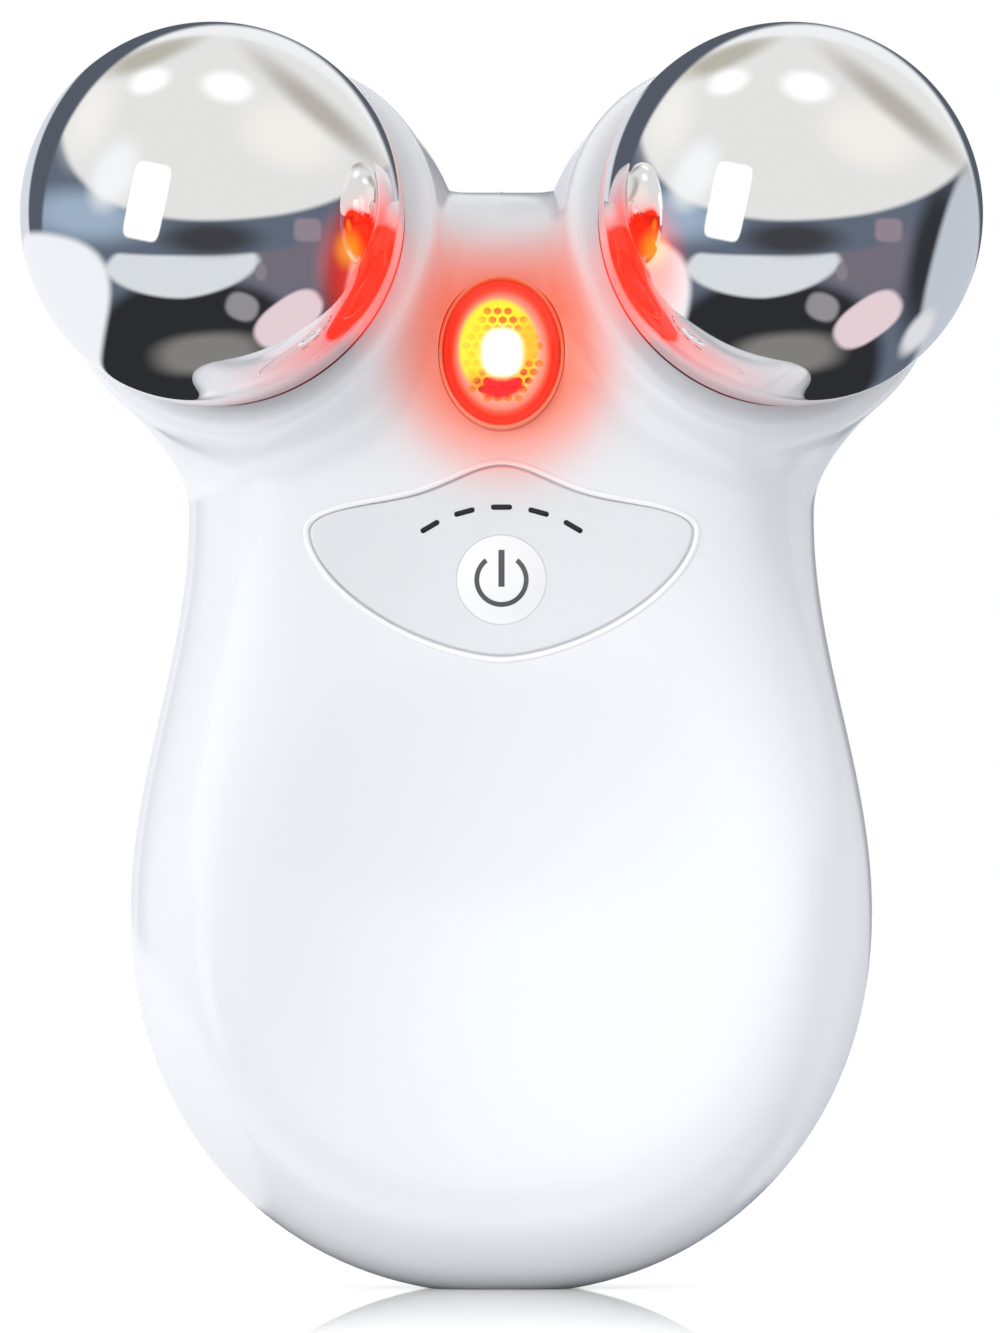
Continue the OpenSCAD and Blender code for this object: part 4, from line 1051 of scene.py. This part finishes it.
CELL_ORANGE, CELL_RINGS = rgb(232, 128, 30), [(0.7, rgb(236, 140, 60)), (1.0, rgb(236, 110, 60))]
CELL_SPOTS = [((-2.5, 0.6), (1.7, 3.2), 2.0, 0.4, rgb(250, 226, 50)),
              ((2.4, 1.2), (1.1, 1.8), 2.4, 0.3, rgb(250, 200, 40)),
              ((0.3, -3.1), (3.0, 1.7), 2.0, 0.35, rgb(200, 26, 6))]
FINISHES["cell_floor"] = lit_material("cell_floor", CELL_ORANGE, [*CELL_SPOTS, RED_PATCH, *WHITE_HOT], CELL_RINGS)
FINISHES["red_lens"] = finish("clear_dome", (1.0, 0.9, 0.88, 1.0), 0.03, spread=0.01, bump=0.0,
                              sockets={"Transmission Weight": 1.0, "IOR": 1.2})
finish_piece(lens, "red_lens", replaces=["light_lens"])


# %% [markdown]
# ## Bowl and honeycomb
#
# The cells could be a pattern in the material, but their walls and edges show through the dome, so they are real
# holes. All cells are one mesh of separate six-sided prisms, and one boolean cuts them at once. A lit floor
# lies behind them.

# %% Bowl, plate and floor of the cells
bowl_rows = [(0.02, -0.6), (0.5, -0.78), (0.9, -1.13), (1.25, -1.55), (1.25, -1.8), (0.02, -1.8)]
bowl = elliptical("reflector_bowl", bowl_rows, at_light)
finish_piece(bowl, "honeycomb", look="lit_bowl")

CELL_PITCH, CELL_SHARE, CELL_SHIFT, COMB_MARGIN = 0.81, 0.42, (0.1, 0.2), 0.35
COMB_TOP, COMB_T, COMB_INSET = -1.5, 0.28, 1.22
comb_a, comb_b = LENS_A - COMB_INSET, LENS_B - COMB_INSET * LENS_B / LENS_A


def hexagon(r):
    """Corners of a six-sided cell that stands on a point."""
    return arc(r, 30, 390, 6)[:-1]


def honeycomb():
    """Plate with rows of six-sided cells, offset by half a pitch: one boolean with all cells as one cutter."""
    row = CELL_PITCH * math.sin(math.radians(60))
    j, i = np.meshgrid(np.arange(-7, 8), np.arange(-5, 6), indexing="ij")
    x = (i + 0.5 * (j % 2)) * CELL_PITCH + CELL_SHIFT[0]
    y = j * row + CELL_SHIFT[1]
    inside = (x / (comb_a - COMB_MARGIN)) ** 2 + (y / (comb_b - COMB_MARGIN)) ** 2 < 1
    centres = np.stack([x[inside], y[inside]], -1)
    cell = hexagon(CELL_PITCH * CELL_SHARE)
    n, k = len(centres), len(cell)
    rings = (centres[:, None, :] + cell[None, :, :]).reshape(-1, 2)
    points = np.concatenate([np.column_stack([rings, np.full(n * k, h)]) for h in (COMB_TOP - 1, COMB_TOP + 1)])
    a = np.arange(n)[:, None] * k + np.arange(k)
    b = np.arange(n)[:, None] * k + (np.arange(k) + 1) % k
    sides = np.stack([a, b, b + n * k, a + n * k], -1).reshape(-1, 4).tolist()
    ends = a[:, ::-1].tolist() + (a + n * k).tolist()
    cells = make_mesh("cells", at_light(points), sides + ends)
    plate = prism("honeycomb_plate", ellipse(comb_a, comb_b), at_light, COMB_TOP - COMB_T, COMB_TOP)
    print(n, "cells")
    return carve(plate, ("DIFFERENCE", cells))


finish_piece(honeycomb(), "honeycomb", replaces=["light_honeycomb"])
comb_foot = COMB_TOP - COMB_T
cell_floor = prism("cell_floor", ellipse(comb_a, comb_b, 96), at_light, comb_foot - 0.3, comb_foot - 0.05)
finish_piece(cell_floor, "emitter", look="cell_floor")


# %% [markdown]
# ## The control panel
#
# The panel is a thin moulded inlay with a rounded edge in a pocket with a raised lip. Its outline is seen
# whole from the button's middle, so the plate is a polar grid: rings that run from the button's bore out to
# the outline, over the rounded edge and back underneath. The lip is a low bead carried along the same outline.

# %% The inlay
BUTTON_R, BUTTON_GAP, GROOVE = 3.425, 0.1, 0.26
INLAY_EDGE, INLAY_T, BORE_EDGE = 0.22, 0.6, 0.03


def at_height(outline, h):
    """An outline in the front plane, lifted to a height above the middle plane."""
    return np.column_stack([outline, np.full(PANEL_POINTS, h)])


def inlay():
    """Rings from the bore to the outline, over a rounded edge, and back: rows are ring numbers."""
    face, edge, back = PANEL_FACE, INLAY_EDGE, PANEL_FACE - INLAY_T
    quarter = np.radians([22, 45, 68, 90])
    side = PANEL_GAP - 0.02
    rim = np.stack([at_height(panel_outline(grow), h) for grow, h in zip(
        [-edge, *(-edge + edge * np.sin(quarter)), 0.0, side, side, -edge],
        [face, *(face - edge + edge * np.cos(quarter)), face - GROOVE, face - GROOVE, back, back])], 1)
    away = rim[:, 0, :2] - [0, BUTTON_Z]
    reach = np.linalg.norm(away, axis=-1, keepdims=True)
    unit = away / reach
    bore = BUTTON_R + BUTTON_GAP
    rings = [at_height(unit * bore + [0, BUTTON_Z], h) for h in (back, face - BORE_EDGE)]
    for share in np.linspace(0, 0.94, 10):
        r = bore + BORE_EDGE + (reach - bore - BORE_EDGE) * share
        rings.append(at_height(unit * r + [0, BUTTON_Z], face))
    grid = np.concatenate([np.stack(rings, 1), rim], 1)
    print(grid.shape[1], "rings of", grid.shape[0], "points")
    return make_mesh("panel", at_front(grid.reshape(-1, 3)), quads(PANEL_POINTS, grid.shape[1], True, True))


finish_piece(inlay(), "panel", replaces=["panel_inlay"])


# %% The lip round the pocket
def surface_height(outline):
    """How far in front of the middle plane the skin lies at each point of an outline in the front plane."""
    start = np.column_stack([outline[:, 0], np.full(len(outline), -START_DEPTH), outline[:, 1]])
    return START_DEPTH + march(start, np.broadcast_to([0.0, -1.0, 0.0], start.shape), 0.0)


def bead(name, ring, height, wide, tall, sides=12):
    """A low bead carried along a closed outline: ellipses of half width and half height, set square to it."""
    ahead = np.roll(ring, -1, 0) - np.roll(ring, 1, 0)
    ahead /= np.linalg.norm(ahead, axis=-1, keepdims=True)
    out = np.stack([ahead[:, 1], -ahead[:, 0]], -1)
    a = np.linspace(0, 2 * np.pi, sides, endpoint=False)
    flat = ring[:, None, :] + wide * np.cos(a)[None, :, None] * out[:, None, :]
    up = height[:, None] + tall * np.sin(a)[None, :]
    grid = at_front(np.concatenate([flat, up[..., None]], -1).reshape(-1, 3))
    return make_mesh(name, grid, quads(len(ring), sides, True, True))


LIP_WIDE, LIP_TALL, START_DEPTH = 0.22, 0.14, 4.0
lip_line = panel_outline(PANEL_GAP + LIP_WIDE - 0.02)
lip = bead("pocket_lip", lip_line, surface_height(lip_line), LIP_WIDE, LIP_TALL)
# The bead takes the whiter lip finish, a painted highlight along its edge.
finish_piece(lip, "housing", look="lip")


# %% [markdown]
# ## The power button and its symbol
#
# The cap is turned as one profile: a shallow dome, a flange that keeps it in its bore, and a plunger over the
# switch. The symbol is printed on real caps. A mask in the cap's material would do, but thin ink that follows
# the dome has an edge that stays sharp from any distance.

# %% The cap
CAP_R, DOME_P = BUTTON_R + BUTTON_GAP - 0.02, 2.3
FLANGE_R, FLANGE_TOP, FLANGE_FOOT, PLUNGER_R, PLUNGER_END = 3.9, 9.55, 8.8, 1.6, 7.15


def dome_height(r):
    """Height of the cap's dome at a distance from its middle: it falls by the rise times (r / R)^p."""
    return BUTTON_TOP - (BUTTON_TOP - PANEL_FACE) * (r / CAP_R) ** DOME_P


def domed_cap():
    """Profile of the cap: shallow dome down to the panel's face, straight side, flange and plunger."""
    rows = [(r, dome_height(r)) for r in np.linspace(0, CAP_R, 32)]
    return rows + [(CAP_R, FLANGE_TOP + 0.07), (FLANGE_R, FLANGE_TOP), (FLANGE_R, FLANGE_FOOT),
                   (PLUNGER_R, FLANGE_FOOT), (PLUNGER_R, PLUNGER_END), (0, PLUNGER_END)]


at_button = local_frame([0, 0, BUTTON_Z], [0, -1, 0])
cap = turned("button_cap", domed_cap(), at_button)
finish_piece(cap, "button", body="button", replaces=["power_button"])


# %% The symbol
SYMBOL_R, STROKE, GAP_HALF, BAR_W, BAR_FROM, BAR_L, INK = 1.94, 0.38, 38, 0.48, -0.55, 2.9, 0.012


def print_on_cap(name, rows):
    """Thin ink that follows the dome: a strip of (centre line, half width) rows, closed below and above."""
    middle, across = (np.array(c, float) for c in zip(*rows))
    sides = np.stack([middle - across, middle + across], 1)
    r = np.linalg.norm(sides, axis=-1)
    low = np.concatenate([sides, (dome_height(r) - 0.02)[..., None]], -1)
    high = np.concatenate([sides, (dome_height(r) + INK)[..., None]], -1)
    ring = np.stack([low[:, 0], low[:, 1], high[:, 1], high[:, 0]], 1)
    n = len(rows)
    faces = quads(n, 4, wrap_cols=True).tolist() + [[3, 2, 1, 0], [4 * n - 4, 4 * n - 3, 4 * n - 2, 4 * n - 1]]
    return make_mesh(name, at_button(ring.reshape(-1, 3)), faces)


angles = np.radians(np.linspace(90 + GAP_HALF, 450 - GAP_HALF, 97))
rays = np.stack([np.cos(angles), np.sin(angles)], -1)
symbol_ring = print_on_cap("symbol_ring", [(SYMBOL_R * u, STROKE / 2 * u) for u in rays])
bar_z = np.linspace(BAR_FROM, BAR_L + BAR_FROM, 13)
symbol_bar = print_on_cap("symbol_bar", [((0, z), (BAR_W / 2, 0)) for z in bar_z])
for piece in (symbol_ring, symbol_bar):
    finish_piece(piece, "button", look="symbol", body="button")


# %% [markdown]
# ## The level windows
#
# Five dark windows over small lamps tell the strength. They are one moulding on the real object, so they are
# one mesh here: a pill with a domed top, turned to five places on an arc.

# %% Pills on an arc
DASH_L, DASH_H, DASH_ARC, DASH_STEP, DASH_DROP = 1.66, 0.42, 11.1, 15.2, 5.4


def level_windows(count):
    """Pills on an arc, each a rounded outline with a domed top, joined into one mesh."""
    pill = slab(DASH_L, DASH_H, DASH_H / 2 - 0.01)
    n = len(pill)
    levels = [(1.0, -0.5), (1.0, 0.012), (0.9, 0.03), (0.55, 0.035)]
    points, faces = [], []
    for k in range(count):
        lean = math.radians((k - (count - 1) / 2) * DASH_STEP)
        turn = np.array([[math.cos(lean), -math.sin(lean)], [math.sin(lean), math.cos(lean)]])
        middle = np.array([math.sin(lean), math.cos(lean)]) * DASH_ARC + [0, BUTTON_Z - DASH_DROP]
        start = len(points) * n
        for scale, h in levels:
            points.append(np.column_stack([(pill * scale) @ turn + middle, np.full(n, PANEL_FACE + h)]))
        faces += (quads(len(levels), n, wrap_cols=True) + start).tolist()
        faces += [list(range(start, start + n)), list(range(start + 4 * n - 1, start + 3 * n - 1, -1))]
    return make_mesh("level_marks", at_front(np.concatenate(points)), faces)


finish_piece(level_windows(5), "dark_window", replaces=["level_windows"])


# %% [markdown]
# ## The pieces inside
#
# What the housing hides keeps its construction shape and takes a finish that suits it, so that a view with the
# shells taken off still reads as a real product.

# %% Finishes for the construction nodes
for part in frame["record"]["subparts"]:
    paint(NODES[part["node"]], part["material_slot"])


# %% [markdown]
# ## Floor and sky
#
# The device stands on a pale glossy floor in a white studio. The world does three jobs, told apart by the
# kind of ray: the camera sees plain white, rough surfaces get an even soft light, and mirrors see a studio
# with a bright ceiling, a dark horizon, a window and a pale floor, which is what makes chrome look like chrome.

# %% The floor
FLOOR_LIFT, MIRROR_SHARE, MIRROR_FADE = 0.42, 0.62, (0.02, 0.2)
floor_grid = np.stack(np.meshgrid([-1200.0, 1200.0], [-1500.0, 2400.0], indexing="ij"), -1).reshape(-1, 2)
floor = make_mesh("floor", np.column_stack([floor_grid, np.zeros(4)]), [[0, 2, 3, 1]])


def floor_material():
    """Pale floor that keeps the shadow. Direct views add plain light up to white. Near the object, and at a low
    angle, it mirrors sharply."""
    material, tree, _ = new_material("pale_floor")
    tree.nodes.clear()
    path = tree.nodes.new("ShaderNodeLightPath")
    lift = sums(tree, "MULTIPLY", path.outputs["Is Camera Ray"], FLOOR_LIFT)
    matt = link_node(tree, "ShaderNodeBsdfDiffuse", {"Color": (0.86, 0.86, 0.86, 1)}).outputs[0]
    plain_light = link_node(tree, "ShaderNodeEmission", {"Strength": lift}).outputs[0]
    base = link_node(tree, "ShaderNodeAddShader", {0: matt, 1: plain_light}).outputs[0]
    gloss = link_node(tree, "ShaderNodeBsdfGlossy", {"Color": (1, 1, 1, 1), "Roughness": 0.0}).outputs[0]
    away = vectors(tree, "LENGTH", object_place(tree))
    low_angle = smooth(tree, tree.nodes.new("ShaderNodeLayerWeight").outputs["Facing"], 0.5, 0.95)
    share = sums(tree, "MULTIPLY", smooth(tree, away, *MIRROR_FADE, MIRROR_SHARE, 0.0), low_angle)
    mixed = link_node(tree, "ShaderNodeMixShader", {0: share, 1: base, 2: gloss}).outputs[0]
    out = tree.nodes.new("ShaderNodeOutputMaterial")
    tree.links.new(mixed, out.inputs["Surface"])
    return material


floor.data.materials.append(floor_material())
floor.visible_glossy = False
print("the floor lies at z = 0 and", FLOOR_LIFT, "of its white is for the camera only")


# %% What mirrors see
AMBIENT = (0.83, 0.83, 0.83, 1.0)
SLATE, DARK, WHITE = rgb(100, 110, 126), rgb(46, 47, 50), (1.25, 1.25, 1.25, 1.0)
STUDIO = [
    ((0.4, -0.25), (0.3, 0.2), 2.0, 0.6, 0, rgb(120, 114, 126)),
    ((-0.08, -0.78), (0.56, 0.42), 2.6, 0.1, 0, DARK),
    ((-0.02, -0.73), (0.27, 0.1), 2.4, 0.35, 4, rgb(134, 132, 128)),
    ((-0.15, -0.27), (0.4, 0.175), 1.7, 0.07, 3, rgb(224, 228, 232)),
    ((-0.12, -0.1), (0.62, 0.125), 2.4, 0.1, 0, SLATE),
    ((-0.66, -0.01), (0.3, 0.12), 2.0, 0.6, -8, rgb(164, 182, 204)),
    ((0.0, -0.14), (0.24, 0.08), 2.0, 0.5, 0, rgb(66, 67, 72)),
    ((0.72, -0.2), (0.1, 0.42), 2.0, 0.5, -12, rgb(52, 54, 60)),
    ((0.88, -0.2), (0.135, 0.56), 2.4, 0.14, -14, rgb(198, 204, 214)),
    ((0.67, -0.6), (0.05, 0.13), 2.0, 0.4, -35, rgb(228, 229, 232)),
    ((0.1, 0.5), (0.876, 0.54), 2.3, 0.03, 4, rgb(235, 235, 233)),
    ((0.4, 0.4), (0.24, 0.16), 2.0, 0.5, -20, rgb(250, 246, 240)),
    ((0.55, 0.54), (0.4, 0.06), 2.0, 0.7, -40, rgb(190, 183, 176)),
    ((-0.33, 0.81), (0.26, 0.05), 2.0, 0.6, 22, rgb(190, 186, 174)),
    ((-0.62, 0.5), (0.1, 0.2), 2.0, 0.8, -20, rgb(250, 248, 244)),
    ((-0.32, 0.68), (0.09, 0.05), 2.0, 0.7, 20, WHITE),
    ((0.08, 0.65), (0.11, 0.066), 2.0, 0.65, -10, WHITE),
    ((-0.5, 0.2), (0.1, 0.17), 2.0, 0.5, -25, rgb(252, 255, 255)),
    ((-0.02, -0.08), (1.0, 1.0), 2.0, -0.015, 0, rgb(246, 247, 249)),
    ((0.05, -0.1), (0.93, 1.08), 2.0, -0.012, 0, rgb(88, 94, 105)),
    ((0.05, 0.0), (1.0, 1.06), 2.0, -0.006, 0, rgb(220, 224, 232)),
    ((-0.95, -0.5), (0.4, 0.42), 3.0, 0.06, -14, rgb(248, 250, 254)),
    ((-0.33, 0.055), (0.095, 0.2), 7.0, 0.05, -12, WHITE),
    ((0.4, -0.55), (0.2, 0.1), 2.5, 0.1, 36, rgb(236, 214, 220)),
    ((0.16, -0.49), (0.085, 0.07), 2.4, 0.2, -20, rgb(152, 148, 153)),
    ((0.5, -0.09), (0.07, 0.06), 4.0, 0.2, 0, rgb(150, 138, 150)),
    ((0.26, -0.31), (0.03, 0.045), 2.0, 0.3, 0, rgb(140, 134, 142)),
]
print(len(STUDIO), "shapes in the mirrored studio: centre, half sizes, power, softness, tilt and colour")


def studio_world():
    """Sky for mirrors, drawn in u and v: the place on a mirror ball, seen from the front, that shows it. A shape
    with a negative softness is painted outside its outline. What lies straight behind the object is white, and so
    is all that the floor's sharp mirror sees."""
    world = bpy.data.worlds.new("studio")
    world.use_nodes = True
    tree = world.node_tree
    tree.nodes.clear()
    ray = tree.nodes.new("ShaderNodeTexCoord").outputs["Generated"]
    half = vectors(tree, "NORMALIZE", vectors(tree, "ADD", ray, (0, -1, 0)))
    u, _, v = link_node(tree, "ShaderNodeSeparateXYZ", {0: half}).outputs
    colour = SLATE
    for centre, halves, power, soft, tilt, tint in STUDIO:
        c, s = math.cos(math.radians(tilt)), math.sin(math.radians(tilt))
        du, dv = sums(tree, "SUBTRACT", u, centre[0]), sums(tree, "SUBTRACT", v, centre[1])
        across = sums(tree, "ADD", sums(tree, "MULTIPLY", du, c), sums(tree, "MULTIPLY", dv, s))
        along = sums(tree, "SUBTRACT", sums(tree, "MULTIPLY", dv, c), sums(tree, "MULTIPLY", du, s))
        mask = smooth(tree, oval_distance(tree, across, along, (0, 0), halves, power), 1 + soft, 1 - soft)
        colour = blend_colour(tree, mask, colour, tint)
    behind = smooth(tree, link_node(tree, "ShaderNodeSeparateXYZ", {0: ray}).outputs[1], 0.985, 0.995)
    colour = blend_colour(tree, behind, colour, (1, 1, 1, 1))
    path = tree.nodes.new("ShaderNodeLightPath")
    plain = sums(tree, "MAXIMUM", path.outputs["Is Camera Ray"], path.outputs["Is Transmission Ray"])
    plain = sums(tree, "MAXIMUM", plain, path.outputs["Is Singular Ray"])
    soft_light = blend_colour(tree, path.outputs["Is Glossy Ray"], AMBIENT, colour)
    shown = blend_colour(tree, plain, soft_light, (1, 1, 1, 1))
    sky = link_node(tree, "ShaderNodeBackground", {"Color": shown, "Strength": 1.0})
    out = tree.nodes.new("ShaderNodeOutputWorld")
    tree.links.new(sky.outputs[0], out.inputs["Surface"])
    return world


bpy.context.scene.world = studio_world()


# %% [markdown]
# ## Lamps and camera
#
# One large soft lamp at the front left gives the form its gentle shading. Three snooted lamps, which throw a round
# pool of light with a soft edge, brighten the middle, the lower right and the crown, as window light does. The
# lamps are hidden from mirrors, because the world already holds what chrome should show. The camera looks level
# at the front from far away, with a long lens, so that both balls keep the same size.

# %% Lamps
def towards(azimuth, elevation):
    """Unit vector that many degrees to the right of straight front, and that many above the level."""
    a, e = math.radians(azimuth), math.radians(elevation)
    return np.array([math.sin(a) * math.cos(e), -math.cos(a) * math.cos(e), math.sin(e)])


def hang(name, data, target, azimuth, elevation, away):
    """Hangs a lamp away from a target in millimetres, aims it there, and hides it from mirrors."""
    lamp = add_object(name, data)
    out = towards(azimuth, elevation)
    lamp.location = [float(c) * MM for c in np.array(target) + out * away]
    lamp.rotation_euler = (math.pi / 2 - math.radians(elevation), 0, math.radians(azimuth))
    lamp.visible_glossy = False


def soft_lamp(name, azimuth, elevation, power, away=900.0, size=420.0):
    """Square area lamp aimed at the middle of the grip."""
    data = bpy.data.lights.new(name, "AREA")
    data.size, data.energy = size * MM, power
    hang(name, data, (0.0, 0.0, 45.0), azimuth, elevation, away)


def snooted_lamp(name, azimuth, elevation, power, x, z, reach, away=700.0):
    """Spot lamp whose soft edged pool of light lies round one place on the front face."""
    data = bpy.data.lights.new(name, "SPOT")
    data.energy, data.shadow_soft_size = power, 30 * MM
    data.spot_size, data.spot_blend = 2 * math.atan(reach / away), 1.0
    hang(name, data, (x, -FACE_Y, z), azimuth, elevation, away)


soft_lamp("left_front", -60, 15, 2.45)
SNOOTED = [("pool_high", -30, 30, 1.5, 16, 42, 26), ("pool_right", 0, 20, 11.6, 15, 25, 24),
           ("pool_crown", 0, 40, 11.0, 0, 92, 10)]
for row in SNOOTED:
    snooted_lamp(*row)
print(1 + len(SNOOTED), "lamps")


# %% Camera
PX_PER_MM, CENTRE_PX, FLOOR_PX, WIDE_PX, TALL_PX = 12.7, 501.5, 1290.0, 1000, 1333
CAMERA_AWAY, SENSOR, FOCUS_Y = 1600.0, 36.0, -6.0
tall_mm = TALL_PX / PX_PER_MM
camera_data = bpy.data.cameras.new("camera")
camera_data.sensor_fit = "VERTICAL"
camera_data.sensor_height = SENSOR
camera_data.lens = SENSOR * CAMERA_AWAY / tall_mm
camera_data.clip_end = 20
camera = add_object("camera", camera_data)
camera.location = ((WIDE_PX / 2 - CENTRE_PX) / PX_PER_MM * MM, (FOCUS_Y - CAMERA_AWAY) * MM,
                   (FLOOR_PX - TALL_PX / 2) / PX_PER_MM * MM)
camera.rotation_euler = (math.pi / 2, 0, 0)
bpy.context.scene.camera = camera
bpy.context.scene.view_settings.view_transform = "Standard"
print("lens", round(camera_data.lens), "mm at", CAMERA_AWAY, "mm")


# %% Corners as plain lists
def plain(box):
    """Two corners as plain lists."""
    return [list(map(float, corner)) for corner in box]
